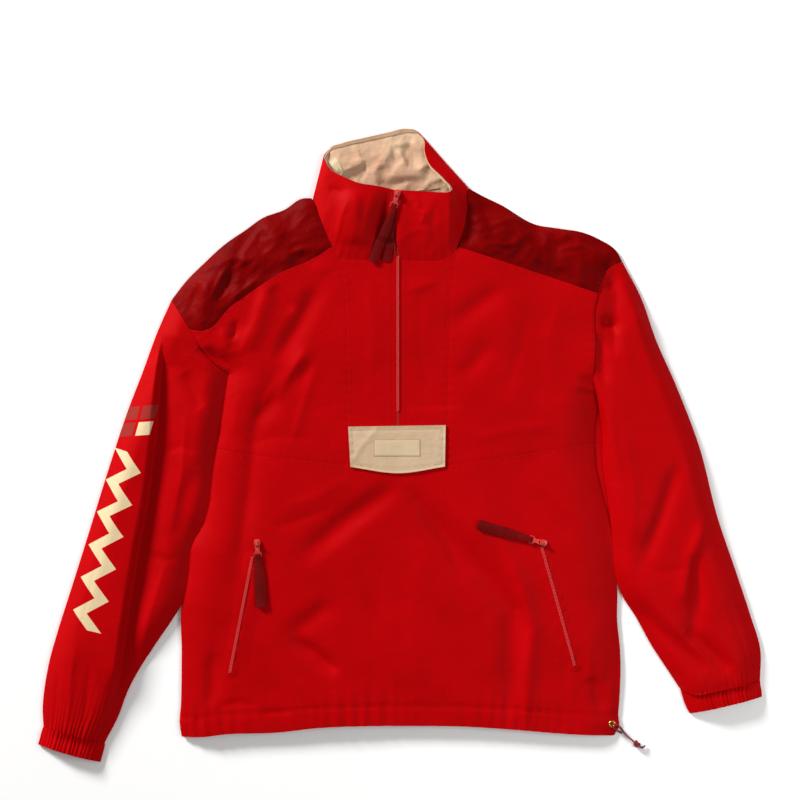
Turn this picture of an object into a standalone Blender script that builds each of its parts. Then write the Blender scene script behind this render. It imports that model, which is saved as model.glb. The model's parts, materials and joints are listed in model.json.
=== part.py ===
"""Anorak pullover laid flat on its back, sleeves out, collar open.

The frame has +X across the hem to the right, +Y towards the collar and +Z up from
the surface the garment lies on. The origin is the bottom centre of its box.
Lengths in the tables are millimetres.
"""
import math

import bpy
import numpy as np
from mathutils import Vector
from mathutils.bvhtree import BVHTree

MM = 0.001
WALL = 1.2
LINING_WALL = 1.0
GAP = 0.3
SEAM_TOP = 2.8
ARMHOLE_GAP = 0.6

# ---------------------------------------------------------------- sizes

# Height of the front over its edges at each distance up the body: (y, loft).
LOFT = [(-380, 9.5), (-250, 10.5), (-30, 12.0), (120, 13.5), (250, 15.0), (330, 15.0)]

# The front falls to the back panel along these edges: (roll width, plan points).
HEM_LEFT = [(-283.5, -378.5), (-286, -362.5), (-284.5, -336.5), (-283.5, -269), (-283.5, -206.5), (-277, -173), (-271.5, -130),
            (-256, -101.5), (-248.5, -71.5), (-244.5, -27.5), (-240.5, -4)]
HEM_RIGHT = [(278, -377), (284.5, -365.5), (283.5, -349.5), (284.5, -336.5), (286, -269), (282, -225), (282, -184.5),
             (281, -175.5), (271.5, -99), (262.5, -66.5), (253.5, -27.5), (251, 2.5)]
SIDE_LEFT = [(-240.5, -4), (-235.5, 15.5), (-230, 58.5), (-223.5, 92.5)]
SIDE_RIGHT = [(251, 2.5), (252, 26), (256, 53.5), (256, 61)]
ARM_LEFT = [(-223.5, 92.5), (-242, 108), (-258.5, 127.5), (-271.5, 149.5)]
ARM_LEFT_YOKE = [(-271.5, 149.5), (-281, 165), (-296.5, 188.5)]
ARM_RIGHT = [(256, 61), (251, 79.5), (252, 132.5), (251, 173), (255, 196.5)]
ARM_RIGHT_YOKE = [(255, 196.5), (262.5, 217), (270.5, 230), (288.5, 238)]
SHOULDER_LEFT = [(-296.5, 188.5), (-277.5, 213), (-255, 235.5), (-225, 262.5), (-200, 279.5), (-178, 295),
                 (-150, 305.5), (-126, 320), (-114.5, 320)]
SHOULDER_RIGHT = [(88.5, 333), (109, 322.5), (130, 312.5), (177, 286), (208, 281), (239, 275.5),
                  (260, 266.5), (281, 252), (288.5, 238)]
YOKE_SEAM_LEFT = [(-271.5, 149.5), (-256, 148), (-245.5, 151), (-219.5, 179), (-200, 192.5), (-167.5, 214.5),
                  (-153, 223.5), (-118.5, 238), (-86, 257.5)]
YOKE_SEAM_RIGHT = [(76.5, 256), (136.5, 236.5), (195, 217), (255, 196.5)]
NECK_LEFT = [(-86, 257.5), (-78, 247), (-62.5, 242), (-34, 240.5), (-5, 243)]
NECK_RIGHT = [(-0.5, 243), (32.5, 241), (58.5, 243), (76.5, 256)]
YOKE_NECK_LEFT = [(-86, 257.5), (-95, 275.5), (-102.5, 291), (-114.5, 320)]
YOKE_NECK_RIGHT = [(76.5, 256), (82, 282), (86, 309.5), (88.5, 333)]
PLACKET_LEFT = [(-67.5, -25.5), (-67.5, 79.5), (-69, 158.5), (-71.5, 209.5), (-78, 232.5), (-86, 257.5)]
PLACKET_RIGHT = [(60, -27), (61, 27.5), (62.5, 105.5), (65, 186), (70, 238), (76.5, 256)]
ZIP_LEFT = [(-5, -27.5), (-5, 108), (-5, 243)]
ZIP_RIGHT = [(-0.5, -27.5), (-0.5, 108), (-0.5, 243)]
CHEST_SEAM_LEFT = [(-240.5, -4), (-203, -11), (-147.5, -17.5), (-67.5, -25.5)]
PLACKET_FOOT_LEFT = [(-67.5, -25.5), (-36.5, -27.5), (-5, -27.5)]
ZIP_FOOT = [(-5, -27.5), (-0.5, -27.5)]
PLACKET_FOOT_RIGHT = [(-0.5, -27.5), (30, -27.5), (60, -27)]
CHEST_SEAM_RIGHT = [(60, -27), (132.5, -16.5), (199, -5.5), (251, 2.5)]
HEM = [(-283.5, -378.5), (-256, -378), (-227.5, -374.5), (-157.5, -372), (-110.5, -366.5), (-23.5, -363.5), (0, -363.5),
       (89.5, -364.5), (143, -368), (223.5, -374.5), (278, -377)]
EDGES = [
    (46.0, HEM_LEFT + SIDE_LEFT[1:]),
    (46.0, HEM_RIGHT + SIDE_RIGHT[1:]),
    (44.0, SHOULDER_LEFT),
    (44.0, SHOULDER_RIGHT),
]

# The thick neck seam lifts both ends of the shoulders.
NECK_CORNERS = [(88.5, 333), (-114.5, 320)]
CORNER_LIFT = 5.0
CORNER_REACH = 16.0

# Outline of the flat back, from the left hem corner round by the right.
BACK_OUTLINE = [
    (-283.5, -378.5), (-227.5, -374.5), (-157.5, -372), (-110.5, -366.5), (-23.5, -363.5), (89.5, -364.5), (143, -368), (223.5, -374.5),
    (278, -377), (284.5, -365.5), (283.5, -349.5), (284.5, -336.5), (286, -269), (282, -225), (282, -184.5), (281, -175.5),
    (276, -117), (270.5, -66.5), (264, -27.5), (262.5, 2.5), (262, 26), (258.5, 48), (255, 61),
    (249.5, 79.5), (250.5, 132.5), (249.5, 173), (253, 197.5), (260.5, 218.5), (268.5, 231.5), (286, 239),
    (281, 252), (260, 266.5), (239, 275.5), (208, 281), (177, 286), (130, 312.5), (109, 322.5), (92.5, 329),
    (87, 328), (78, 330), (65, 326), (45.5, 322), (26, 318), (-14.5, 317), (-65, 317),
    (-91, 317.5), (-105.5, 318), (-115, 317),
    (-126, 320), (-150, 305.5), (-178, 295), (-200, 279.5), (-225, 262.5), (-255, 235.5), (-277.5, 213), (-294, 190),
    (-279, 166.5), (-270, 151), (-257, 128.5), (-240.5, 109), (-221, 92.5),
    (-227.5, 58.5), (-232.5, 15.5), (-238, -4), (-242, -27.5), (-245.5, -71.5), (-254, -101.5), (-270, -130), (-277, -173),
    (-283.5, -206.5), (-283.5, -269), (-284.5, -336.5), (-286, -362.5),
]

# Folds of the body: (name, height, width to the left of its run, width to the right, run).
BODY_FOLDS = [
    ("yoke_left_band", 3.0, 14, 5, [(-179.5, 292.5), (-166.5, 261.5), (-154.5, 230)]),
    ("yoke_left_valley", -4.0, 9, 9, [(-197.5, 271.5), (-213, 238), (-232.5, 191)]),
    ("yoke_left_crease", 4.0, 9, 9, [(-238, 232.5), (-256, 186), (-252, 154.5)]),
    ("yoke_right_collar_dip", -6.5, 10, 15, [(86, 323.5), (91, 286), (83, 258.5)]),
    ("yoke_right_lens", 2.5, 12, 12, [(156, 256), (195, 238), (236.5, 238)]),
    ("yoke_right_dip", -3.5, 9, 9, [(234, 266.5), (252, 258.5), (269, 251)]),
    ("chest_left_ridge", 4.0, 13, 8, [(-171.5, 204), (-184.5, 160), (-196.5, 121)]),
    ("chest_left_dart", -4.0, 8, 8, [(-166.5, 204), (-153.5, 188.5), (-138, 173)]),
    ("chest_left_valley_a", -4.5, 13, 10, [(-106.5, 204), (-132.5, 154.5), (-160, 108)]),
    ("chest_left_valley_b", -4.0, 12, 9, [(-118.5, 108), (-151, 71.5), (-186, 31)]),
    ("chest_left_ridge_b", 3.0, 10, 10, [(-119.5, 123.5), (-140.5, 87), (-161, 56)]),
    ("chest_right_valley_a", -3.0, 13, 13, [(132.5, 203), (101.5, 180.5), (71.5, 158.5)]),
    ("chest_right_valley_b", -2.5, 12, 12, [(117, 131.5), (99, 110.5), (79.5, 87)]),
    ("front_left_valley", -5.0, 14, 14, [(-5, -53.5), (-65, -95), (-126, -144.5)]),
    ("front_right_valley", -5.0, 13, 15, [(26, -76.5), (112, -170.5), (145.5, -214.5), (144.5, -282), (144.5, -352.5)]),
    ("front_right_ridge", 4.5, 12, 7, [(130, -123.5), (156, -180.5), (170.5, -235.5), (164, -290), (160, -352.5)]),
    ("front_low_arch", -3.0, 12, 12, [(-143, -245.5), (-114.5, -225), (-91, -204)]),
    ("front_low_valley", -3.0, 11, 11, [(-143, -248.5), (-112, -271.5), (-80.5, -295)]),
    ("front_side_left", -4.0, 11, 9, [(-242, -269), (-243, -292.5), (-244.5, -336.5)]),
    ("front_side_right", -4.0, 10, 9, [(244.5, -300.5), (255, -321), (264, -344.5)]),
]

# Left sleeve, armhole to cuff: (outer edge, inner edge, crown height).
SLEEVE_LEFT = [
    ((-296.5, 188.5), (-223.5, 92.5), 13.0),
    ((-314.5, 148), (-232.5, 53.5), 15.0),
    ((-334, 95), (-240, 6.5), 16.0),
    ((-352.5, 47), (-246.5, -39), 16.0),
    ((-375.5, -22), (-254.5, -91), 16.0),
    ((-387.5, -60), (-271.5, -125), 16.0),
    ((-399, -97.5), (-275.5, -149.5), 16.0),
    ((-427.5, -188.5), (-287.5, -212), 16.0),
    ((-444.5, -242), (-318.5, -260), 15.5),
    ((-455, -279.5), (-338, -290), 15.0),
    ((-462, -318.5), (-355, -322.5), 14.0),
    ((-464, -342), (-366.5, -353.5), 13.0),
    ((-463, -364), (-383, -385), 12.0),
]
SLEEVE_LEFT_FOLDS = [
    ("pleat_crest", 5.5, 4, 15, [(-308, 143), (-314.5, 75.5), (-318.5, 19.5), (-326.5, -44), (-330, -71.5), (-340.5, -127.5),
                                 (-351, -188.5), (-359, -242), (-367, -307), (-378.5, -347)]),
    ("pleat_foot", -6.0, 19, 4, [(-299, 139), (-304, 75.5), (-308, 19.5), (-316, -44), (-320, -71.5), (-330, -127.5),
                                 (-340.5, -188.5), (-349.5, -242), (-360, -307), (-372, -347)]),
    ("elbow_dip", -3.0, 12, 12, [(-265, -32.5), (-278, -71.5), (-288.5, -123.5)]),
    ("upper_dip", -3.0, 9, 9, [(-278, 95), (-268, 74), (-255, 48)]),
]
# Right sleeve, armhole to cuff.
SLEEVE_RIGHT = [
    ((288.5, 238), (256, 61), 13.0),
    ((312, 193.5), (263.5, 26), 15.0),
    ((333, 135), (265, -19.5), 16.0),
    ((357.5, 79.5), (271.5, -65), 16.5),
    ((387.5, 1.5), (278.5, -117), 17.0),
    ((413.5, -97.5), (285.5, -188.5), 16.5),
    ((437, -166.5), (308, -226), 16.0),
    ((455, -221), (327.5, -261.5), 15.0),
    ((468, -266.5), (347, -291), 14.0),
    ((467.5, -304), (362.5, -314.5), 12.0),
]
SLEEVE_RIGHT_FOLDS = [
    ("cuff_valley_a", -5.0, 10, 12, [(304, -209.5), (351, -253.5), (398, -292.5)]),
    ("cuff_valley_b", -4.5, 9, 10, [(370.5, -238), (400.5, -266.5), (426.5, -292.5)]),
    ("elbow_crease", -4.0, 9, 11, [(378.5, -138), (385, -196.5), (379.5, -243)]),
    ("streak_a", -4.0, 10, 10, [(357.5, -27.5), (338, -89.5), (314.5, -152)]),
    ("streak_b", 3.5, 8, 9, [(394, -97.5), (375.5, -144.5), (364, -201.5)]),
    ("armhole_wedge", -4.0, 9, 7, [(261.5, 160), (273, 157.5), (283.5, 153.5)]),
    ("shoulder_ridge", 3.0, 9, 9, [(288.5, 219.5), (300.5, 188.5), (312, 154.5)]),
    ("armhole_shadow", -3.0, 8, 9, [(260, 144.5), (261.5, 110.5), (265, 79.5)]),
]
CUFF_LEFT = [
    ((-463, -365), (-383.5, -386), 11.5),
    ((-465.5, -372), (-384, -392.5), 9.5),
    ((-468, -382), (-387.5, -405.5), 10.5),
    ((-470, -388.5), (-389, -411.5), 11.0),
]
CUFF_RIGHT = [
    ((467.5, -305.5), (364, -316), 11.5),
    ((468, -310.5), (366.5, -325), 9.5),
    ((469.5, -320), (372, -340.5), 10.5),
    ((470, -326.5), (376.5, -348.5), 11.0),
]

# Collar from the zip round by the right and the back to the zip again:
# (foot x, foot y, foot z, rim x, rim y, rim z, bulge). A foot z of None takes the front's height.
COLLAR = [
    (0.5, 243.5, None, 0.5, 328.5, 27.0, 3.0),
    (31, 242.5, None, 31, 327, 28.0, 3.5),
    (53.5, 244.5, None, 53.5, 325.5, 29.0, 3.5),
    (64.5, 251.5, None, 61, 325.5, 28.8, 3.0),
    (74, 264, None, 67.5, 329.5, 27.0, 1.5),
    (82, 287.5, None, 65, 336.5, 24.5, 0.5),
    (85, 309.5, None, 58.5, 343, 23.0, 0.0),
    (86.5, 321, None, 50, 351.5, 20.5, 0.5),
    (87.5, 328, None, 39, 362.5, 17.5, 1.0),
    (88, 332, 7.8, 32, 381, 11.5, 1.5),
    (88, 335, 4.2, 32, 396, 6.0, 0.5),
    (83, 336, 0.5, 24, 407, 0.3, 0.0),
    (65, 327.5, 0.0, 10.5, 410.5, 0.0, 0.0),
    (26, 320, 0.0, -14.5, 406, 0.0, 0.0),
    (-14.5, 318.5, 0.0, -36.5, 401, 0.0, 0.0),
    (-65, 318.5, 0.0, -75.5, 391.5, 0.0, 0.0),
    (-105.5, 320, 0.2, -92.5, 383.5, 0.2, 0.0),
    (-112.5, 322, 5.6, -99, 375.5, 6.0, 0.0),
    (-108, 312, 11.5, -96, 365.5, 13.5, 0.0),
    (-99, 290, None, -87, 354, 18.0, 0.5),
    (-90.5, 270.5, None, -71.5, 346, 22.0, 1.5),
    (-82, 257.5, None, -54.5, 338.5, 25.0, 2.5),
    (-61, 245.5, None, -34, 335, 26.0, 3.0),
    (-34, 243.5, None, -18, 332, 26.6, 3.0),
    (-5.5, 244, None, -5.5, 328.5, 27.0, 3.0),
]
COLLAR_STEP = 11.0
COLLAR_UP = 4

# Chest patch and the bare label on it.
PATCH = [(-64, -28), (-1.5, -36), (58, -27.5), (59, 26), (-67, 24)]
LABEL = [(-33, -13.5), (25.5, -13.5), (25.5, 7), (-33, 7)]

# Pocket zips: (name, slider end, foot end).
POCKET_ZIPS = [
    ("left", (-191, -145.5), (-220, -294)),
    ("right", (183.5, -132.5), (226, -284.5)),
]
POCKET_ZIP_WIDTH = 5.0

# Zip pulls: (name, hinge point, a point the tab lies towards, tail length, tail width).
PULLS = [
    ("neck", (-4, 323), (-10.5, 297.5), 92.0, 12.0),
    ("left_pocket", (-184.5, -127.5), (-179.5, -201.5), 82.0, 13.5),
    ("right_pocket", (183.5, -125.5), (130, -111), 86.0, 13.0),
]
BODY_LENGTH = 9.0
BODY_WIDTH = 8.0
BODY_HEIGHT = 2.8
BRIDGE_LENGTH = 7.0
BRIDGE_WIDTH = 2.4
BRIDGE_TOP = 7.4
BRIDGE_BAR = 1.1
PIVOT_FORWARD = 0.6
PIVOT_HEIGHT = 4.5
PLATE = 1.4
TAIL_WALL = 1.0

# Drawcord at the right end of the hem.
EYELET_AT = (275, -361.5)
EYELET_RADIUS = 3.5
EYELET_WIRE = 0.95
CORD_RADIUS = 1.1
KNOT_AT = (307.5, -388)
KNOT_RADIUS = 5.0
KNOT_LENGTH = 9.0
CORD_END = (318.5, -390.5)

# ---------------------------------------------------------------- scene and materials

for old in list(bpy.data.objects):
    bpy.data.objects.remove(old, do_unlink=True)
for old in list(bpy.data.collections):
    bpy.data.collections.remove(old)
PARTS = bpy.data.collections.new("anorak_pullover")
HELPERS = bpy.data.collections.new("cutters")
bpy.context.scene.collection.children.link(PARTS)
bpy.context.scene.collection.children.link(HELPERS)
HELPERS.hide_render = True


def colour(hexcode):
    """Linear RGBA of an sRGB hex code."""
    parts = [int(hexcode[i:i + 2], 16) / 255 for i in (0, 2, 4)]
    linear = [c / 12.92 if c <= 0.04045 else ((c + 0.055) / 1.055) ** 2.4 for c in parts]
    return (*linear, 1.0)


def material(name, hexcode, roughness, metallic=0.0):
    made = bpy.data.materials.new(name)
    made.use_nodes = True
    shader = made.node_tree.nodes["Principled BSDF"]
    shader.inputs["Base Color"].default_value = colour(hexcode)
    shader.inputs["Roughness"].default_value = roughness
    shader.inputs["Metallic"].default_value = metallic
    made.diffuse_color = colour(hexcode)
    return made


SHELL = material("red_nylon", "B80008", 0.62)
YOKE = material("maroon_nylon", "7E0509", 0.42)
TAN = material("tan_cotton", "D2B794", 0.85)
BINDING = material("binding_tape", "B98D68", 0.85)
LABEL_CLOTH = material("label_cloth", "DEC8A8", 0.8)
COIL = material("zip_coil", "C2121A", 0.45)
ENAMEL = material("coral_enamel", "E5484A", 0.35)
WEBBING = material("webbing", "6E0508", 0.75)
CORD = material("drawcord", "7A0010", 0.8)
BRASS = material("brass", "C79A4B", 0.3, 1.0)


# ---------------------------------------------------------------- curves and heights

def curve(points, fractions):
    """Smooth curve through the points, read at fractions of its length."""
    rows = np.asarray(points, float)
    steps = np.linalg.norm(np.diff(rows[:, :2], axis=0), axis=1)
    at = np.concatenate([[0.0], np.cumsum(steps)])
    at /= at[-1]
    slopes = np.zeros_like(rows)
    if len(rows) > 2:
        slopes = np.gradient(rows, at, axis=0)
    else:
        slopes[:] = rows[1] - rows[0]
    wanted = np.asarray(fractions, float)
    index = np.clip(np.searchsorted(at, wanted, side="right") - 1, 0, len(rows) - 2)
    span = (at[index + 1] - at[index])[:, None]
    t = (wanted - at[index])[:, None] / span
    a, b = rows[index], rows[index + 1]
    ta, tb = slopes[index] * span, slopes[index + 1] * span
    return ((2 * t ** 3 - 3 * t ** 2 + 1) * a + (t ** 3 - 2 * t ** 2 + t) * ta
            + (3 * t ** 2 - 2 * t ** 3) * b + (t ** 3 - t ** 2) * tb)


def even(points, count):
    return curve(points, np.linspace(0, 1, count + 1))


def run_distance(at, run):
    """Distance from each plan point to the run, its side (+1 on the right) and its share of the run."""
    line = np.asarray(run, float)
    lengths = np.linalg.norm(np.diff(line, axis=0), axis=1)
    before = np.concatenate([[0.0], np.cumsum(lengths)])
    best = np.full(at.shape[:-1], 1e9)
    side = np.ones(at.shape[:-1])
    share = np.zeros(at.shape[:-1])
    for index in range(len(line) - 1):
        step = line[index + 1] - line[index]
        away = at - line[index]
        t = np.clip((away @ step) / (step @ step), 0, 1)
        gap = away - t[..., None] * step
        distance = np.linalg.norm(gap, axis=-1)
        turn = step[0] * away[..., 1] - step[1] * away[..., 0]
        nearer = distance < best
        best = np.where(nearer, distance, best)
        side = np.where(nearer, np.where(turn < 0, 1.0, -1.0), side)
        share = np.where(nearer, (before[index] + t * lengths[index]) / before[-1], share)
    return best, side, share


def relief(at, folds):
    """Height that the folds add at plan points; left and right are as seen along the run."""
    total = np.zeros(at.shape[:-1])
    for _, height, left, right, run in folds:
        distance, side, share = run_distance(at, run)
        width = np.where(side > 0, right, left)
        fade = 1 - 0.8 * np.abs(2 * share - 1) ** 4
        total += height * fade * np.exp(-((distance / width) ** 2))
    return total


def rise(distance, roll):
    return np.sin(0.5 * math.pi * np.clip(distance / roll, 0, 1))


def body_height(at):
    """Outer height of the front at plan points."""
    edge = np.ones(at.shape[:-1])
    for roll, run in EDGES:
        edge = edge * rise(run_distance(at, run)[0], roll)
    levels = np.asarray(LOFT, float)
    loft = np.interp(at[..., 1], levels[:, 0], levels[:, 1])
    corners = 0
    for corner in NECK_CORNERS:
        corners = corners + CORNER_LIFT * np.exp(-((at - np.array(corner)) ** 2).sum(-1) / CORNER_REACH ** 2)
    return SEAM_TOP + corners + edge * np.maximum(loft + relief(at, BODY_FOLDS), 1.5)


def with_height(at):
    return np.concatenate([at, body_height(at)[..., None]], axis=-1)


# ---------------------------------------------------------------- building

def mesh_object(name, points, faces, made_of, smooth=True):
    mesh = bpy.data.meshes.new(name)
    mesh.from_pydata([tuple(p * MM for p in row) for row in np.asarray(points, float)], [], faces)
    mesh.materials.append(made_of)
    mesh.validate()
    if smooth:
        mesh.shade_smooth()
    made = bpy.data.objects.new(name, mesh)
    PARTS.objects.link(made)
    return made


def normals(grid):
    """Unit normals of a grid of points, out of columns by rows."""
    along = np.gradient(grid, axis=1)
    up = np.gradient(grid, axis=0)
    cross = np.cross(along, up)
    return cross / np.maximum(np.linalg.norm(cross, axis=-1, keepdims=True), 1e-9)


def slab(name, outer, inner, made_of):
    """Closed solid between two like grids, the outer one facing out."""
    rows, columns = outer.shape[:2]
    points = np.concatenate([outer.reshape(-1, 3), inner.reshape(-1, 3)])
    shift = rows * columns
    faces = []
    for r in range(rows - 1):
        for c in range(columns - 1):
            a = r * columns + c
            for tri in ([a, a + 1, a + 1 + columns], [a, a + 1 + columns, a + columns]):
                faces.append(tri)
                faces.append([shift + q for q in reversed(tri)])
    rim = [c for c in range(columns)]
    rim += [r * columns + columns - 1 for r in range(1, rows)]
    rim += [(rows - 1) * columns + c for c in range(columns - 2, -1, -1)]
    rim += [r * columns for r in range(rows - 2, 0, -1)]
    for here, after in zip(rim, rim[1:] + rim[:1]):
        faces.append([after, here, shift + here, shift + after])
    return mesh_object(name, points, faces, made_of)


def coons(bottom, top, left, right):
    """Plan grid between four sampled sides: bottom and top run left to right, the others upwards."""
    u = np.linspace(0, 1, len(bottom))[None, :, None]
    v = np.linspace(0, 1, len(left))[:, None, None]
    grid = (1 - v) * bottom[None] + v * top[None] + (1 - u) * left[:, None] + u * right[:, None]
    grid -= (1 - u) * (1 - v) * bottom[0] + u * (1 - v) * bottom[-1]
    grid -= (1 - u) * v * top[0] + u * v * top[-1]
    return grid


def inset(grid, amount):
    """Grid with its four sides moved in by the amount."""
    made = grid.copy()
    for side, inside in ((0, 1), (-1, -2)):
        step = grid[inside] - grid[side]
        made[side] += step / np.linalg.norm(step, axis=-1, keepdims=True) * amount
    for side, inside in ((0, 1), (-1, -2)):
        step = grid[:, inside] - grid[:, side]
        made[:, side] += step / np.linalg.norm(step, axis=-1, keepdims=True) * amount
    return made


def panel(name, bottom, top, left, right, made_of):
    plan = inset(coons(bottom, top, left, right), GAP / 2)
    outer = with_height(plan)
    inner = outer - normals(outer) * WALL
    inner[..., 2] = np.maximum(inner[..., 2], WALL + GAP)
    return slab(name, outer, inner, made_of)


ROWS_LOW = 12
ROWS_CHEST = 9
ROWS_YOKE = 5
ACROSS_LEFT = 9
ACROSS_RIGHT = 9
ACROSS_PLACKET = 3

seam_left = even(CHEST_SEAM_LEFT, ACROSS_LEFT)
seam_right = even(CHEST_SEAM_RIGHT, ACROSS_RIGHT)
foot_left = even(PLACKET_FOOT_LEFT, ACROSS_PLACKET)
foot_zip = even(ZIP_FOOT, 1)
foot_right = even(PLACKET_FOOT_RIGHT, ACROSS_PLACKET)
whole_seam = np.concatenate([seam_left, foot_left[1:], foot_zip[1:], foot_right[1:], seam_right[1:]])
yoke_left = even(YOKE_SEAM_LEFT, ACROSS_LEFT)
yoke_right = even(YOKE_SEAM_RIGHT, ACROSS_RIGHT)
placket_left = even(PLACKET_LEFT, ROWS_CHEST)
placket_right = even(PLACKET_RIGHT, ROWS_CHEST)
chest_edge_left = np.concatenate([even(SIDE_LEFT, 5), even(ARM_LEFT, ROWS_CHEST - 5)[1:]])
chest_edge_right = np.concatenate([even(SIDE_RIGHT, 3), even(ARM_RIGHT, ROWS_CHEST - 3)[1:]])

hem_shares = np.linspace(0, 1, len(whole_seam))
front = panel("front_lower", curve(HEM, hem_shares), whole_seam,
              even(HEM_LEFT, ROWS_LOW), even(HEM_RIGHT, ROWS_LOW), SHELL)
panel("chest_left", seam_left, yoke_left, chest_edge_left, placket_left, SHELL)
panel("chest_right", seam_right, yoke_right, placket_right, chest_edge_right, SHELL)
panel("placket_left", foot_left, even(NECK_LEFT, ACROSS_PLACKET), placket_left,
      even(ZIP_LEFT, ROWS_CHEST), SHELL)
panel("placket_right", foot_right, even(NECK_RIGHT, ACROSS_PLACKET), even(ZIP_RIGHT, ROWS_CHEST),
      placket_right, SHELL)
panel("neck_zip", foot_zip, even([NECK_LEFT[-1], NECK_RIGHT[0]], 1), even(ZIP_LEFT, ROWS_CHEST),
      even(ZIP_RIGHT, ROWS_CHEST), COIL)
panel("yoke_left", yoke_left, even(SHOULDER_LEFT, ACROSS_LEFT), even(ARM_LEFT_YOKE, ROWS_YOKE),
      even(YOKE_NECK_LEFT, ROWS_YOKE), YOKE)
panel("yoke_right", yoke_right, even(SHOULDER_RIGHT, ACROSS_RIGHT), even(YOKE_NECK_RIGHT, ROWS_YOKE),
      even(ARM_RIGHT_YOKE, ROWS_YOKE), YOKE)

# The back lies flat on the surface under the whole body.
outline = np.asarray(BACK_OUTLINE, float)
count = len(outline)
back_points = [(x, y, WALL) for x, y in outline] + [(x, y, 0.0) for x, y in outline]
back_faces = [list(range(count)), [2 * count - 1 - k for k in range(count)]]
for k in range(count):
    after = (k + 1) % count
    back_faces.append([after, k, count + k, count + after])
mesh_object("back_panel", back_points, back_faces, SHELL, smooth=False)


# ---------------------------------------------------------------- sleeves and cuffs

TUBE_TOP = 12
TUBE_EDGE = 3.2
TUBE_ROLL = 34.0


def tube_rows(table, shares):
    rows = np.array([[*outer, *inner, crown] for outer, inner, crown in table], float)
    steps = np.linalg.norm(np.diff((rows[:, :2] + rows[:, 2:4]) / 2, axis=0), axis=1)
    at = np.concatenate([[0.0], np.cumsum(steps)])
    at /= at[-1]
    slopes = np.gradient(rows, at, axis=0)
    wanted = np.asarray(shares, float)
    index = np.clip(np.searchsorted(at, wanted, side="right") - 1, 0, len(rows) - 2)
    span = (at[index + 1] - at[index])[:, None]
    t = (wanted - at[index])[:, None] / span
    return ((2 * t ** 3 - 3 * t ** 2 + 1) * rows[index] + (t ** 3 - 2 * t ** 2 + t) * slopes[index] * span
            + (3 * t ** 2 - 2 * t ** 3) * rows[index + 1]
            + (t ** 3 - t ** 2) * slopes[index + 1] * span)


def tube(name, table, folds, start, end_seam, rows, made_of, wave=0.0, gap=0.0, first=0.0, last=1.0):
    """Tube flat underneath and domed on top, open at both ends.

    start bends its first end to a curve, end_seam its last one. It runs from the first share
    of its table's length to the last.
    """
    shares = np.linspace(first, last, rows + 1)
    track = tube_rows(table, shares)
    across = 0.5 - 0.5 * np.cos(np.linspace(0, math.pi, TUBE_TOP + 1))
    across = 0.35 * across + 0.65 * np.linspace(0, 1, TUBE_TOP + 1)
    outer_edge, inner_edge, crown = track[:, None, :2], track[:, None, 2:4], track[:, 4:5]
    t = across[None, :, None]
    plan = outer_edge * (1 - t) + inner_edge * t
    if start is not None:
        bend = curve(start, across) - (plan[0, :1] * (1 - t[0]) + plan[0, -1:] * t[0])
        fade = np.clip(1 - shares * 5, 0, 1) ** 1.5
        plan = plan + fade[:, None, None] * bend[None]
    if end_seam is not None:
        bend = curve(end_seam, across) - plan[-1]
        fade = np.clip(1 - (1 - shares) * 6, 0, 1) ** 1.5
        plan = plan + fade[:, None, None] * bend[None]
    if gap:
        step = plan[1] - plan[0]
        plan[0] += step / np.linalg.norm(step, axis=-1, keepdims=True) * gap
    width = np.linalg.norm(track[:, 2:4] - track[:, :2], axis=1)[:, None]
    near = np.minimum(across[None], 1 - across[None]) * width
    roll = np.minimum(TUBE_ROLL, 0.45 * width)
    lift = crown + relief(plan, folds)
    ripple = wave * np.cos(np.arange(TUBE_TOP + 1) * math.pi)[None]
    top = TUBE_EDGE + rise(near, roll) * np.maximum(lift + ripple, 2.0)
    outer_top = np.concatenate([plan, top[..., None]], axis=-1)
    inward = (plan[:, -1] - plan[:, 0]) / width
    floor_at = np.linspace(1, 0, 6)[None, :, None]
    floor_plan = plan[:, :1] * (1 - floor_at) + plan[:, -1:] * floor_at
    for column in range(6):
        near_top = int(round((1 - column / 5) * TUBE_TOP))
        floor_plan[:, column] = plan[:, near_top]
    outer_floor = np.concatenate([floor_plan, np.zeros(floor_plan.shape[:2] + (1,))], axis=-1)
    skin = normals(outer_top)
    skin *= math.copysign(1.0, skin[..., 2].mean())
    inner_top = outer_top - skin * WALL
    inner_top[:, 0, :2] = plan[:, 0] + inward * WALL * 1.3
    inner_top[:, -1, :2] = plan[:, -1] - inward * WALL * 1.3
    inner_top[:, 0, 2] = TUBE_EDGE - WALL + 0.15
    inner_top[:, -1, 2] = TUBE_EDGE - WALL + 0.15
    inner_floor = outer_floor.copy()
    inner_floor[..., 2] = WALL
    inner_floor[:, 0, :2] = inner_top[:, -1, :2]
    inner_floor[:, -1, :2] = inner_top[:, 0, :2]
    outer = np.concatenate([outer_top, outer_floor], axis=1)
    inner = np.concatenate([inner_top, inner_floor], axis=1)
    return sleeve_solid(name, outer, inner, made_of)


def sleeve_solid(name, outer, inner, made_of):
    """Closed solid between two like nests of rings, open along its middle."""
    rings, around = outer.shape[:2]
    points = np.concatenate([outer.reshape(-1, 3), inner.reshape(-1, 3)])
    shift = rings * around
    faces = []
    for r in range(rings - 1):
        for c in range(around):
            after = (c + 1) % around
            quad = [r * around + c, r * around + after, (r + 1) * around + after, (r + 1) * around + c]
            faces.append(quad)
            faces.append([shift + q for q in reversed(quad)])
    for c in range(around):
        after = (c + 1) % around
        faces.append([after, c, shift + c, shift + after])
        last = (rings - 1) * around
        faces.append([last + c, last + after, shift + last + after, shift + last + c])
    return mesh_object(name, points, faces, made_of)


def faced(made):
    """Turns a solid's faces out."""
    volume = 0.0
    mesh = made.data
    mesh.calc_loop_triangles()
    for triangle in mesh.loop_triangles:
        a, b, c = (mesh.vertices[i].co for i in triangle.vertices)
        volume += a.dot(b.cross(c))
    if volume < 0:
        mesh.flip_normals()
    return made


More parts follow.
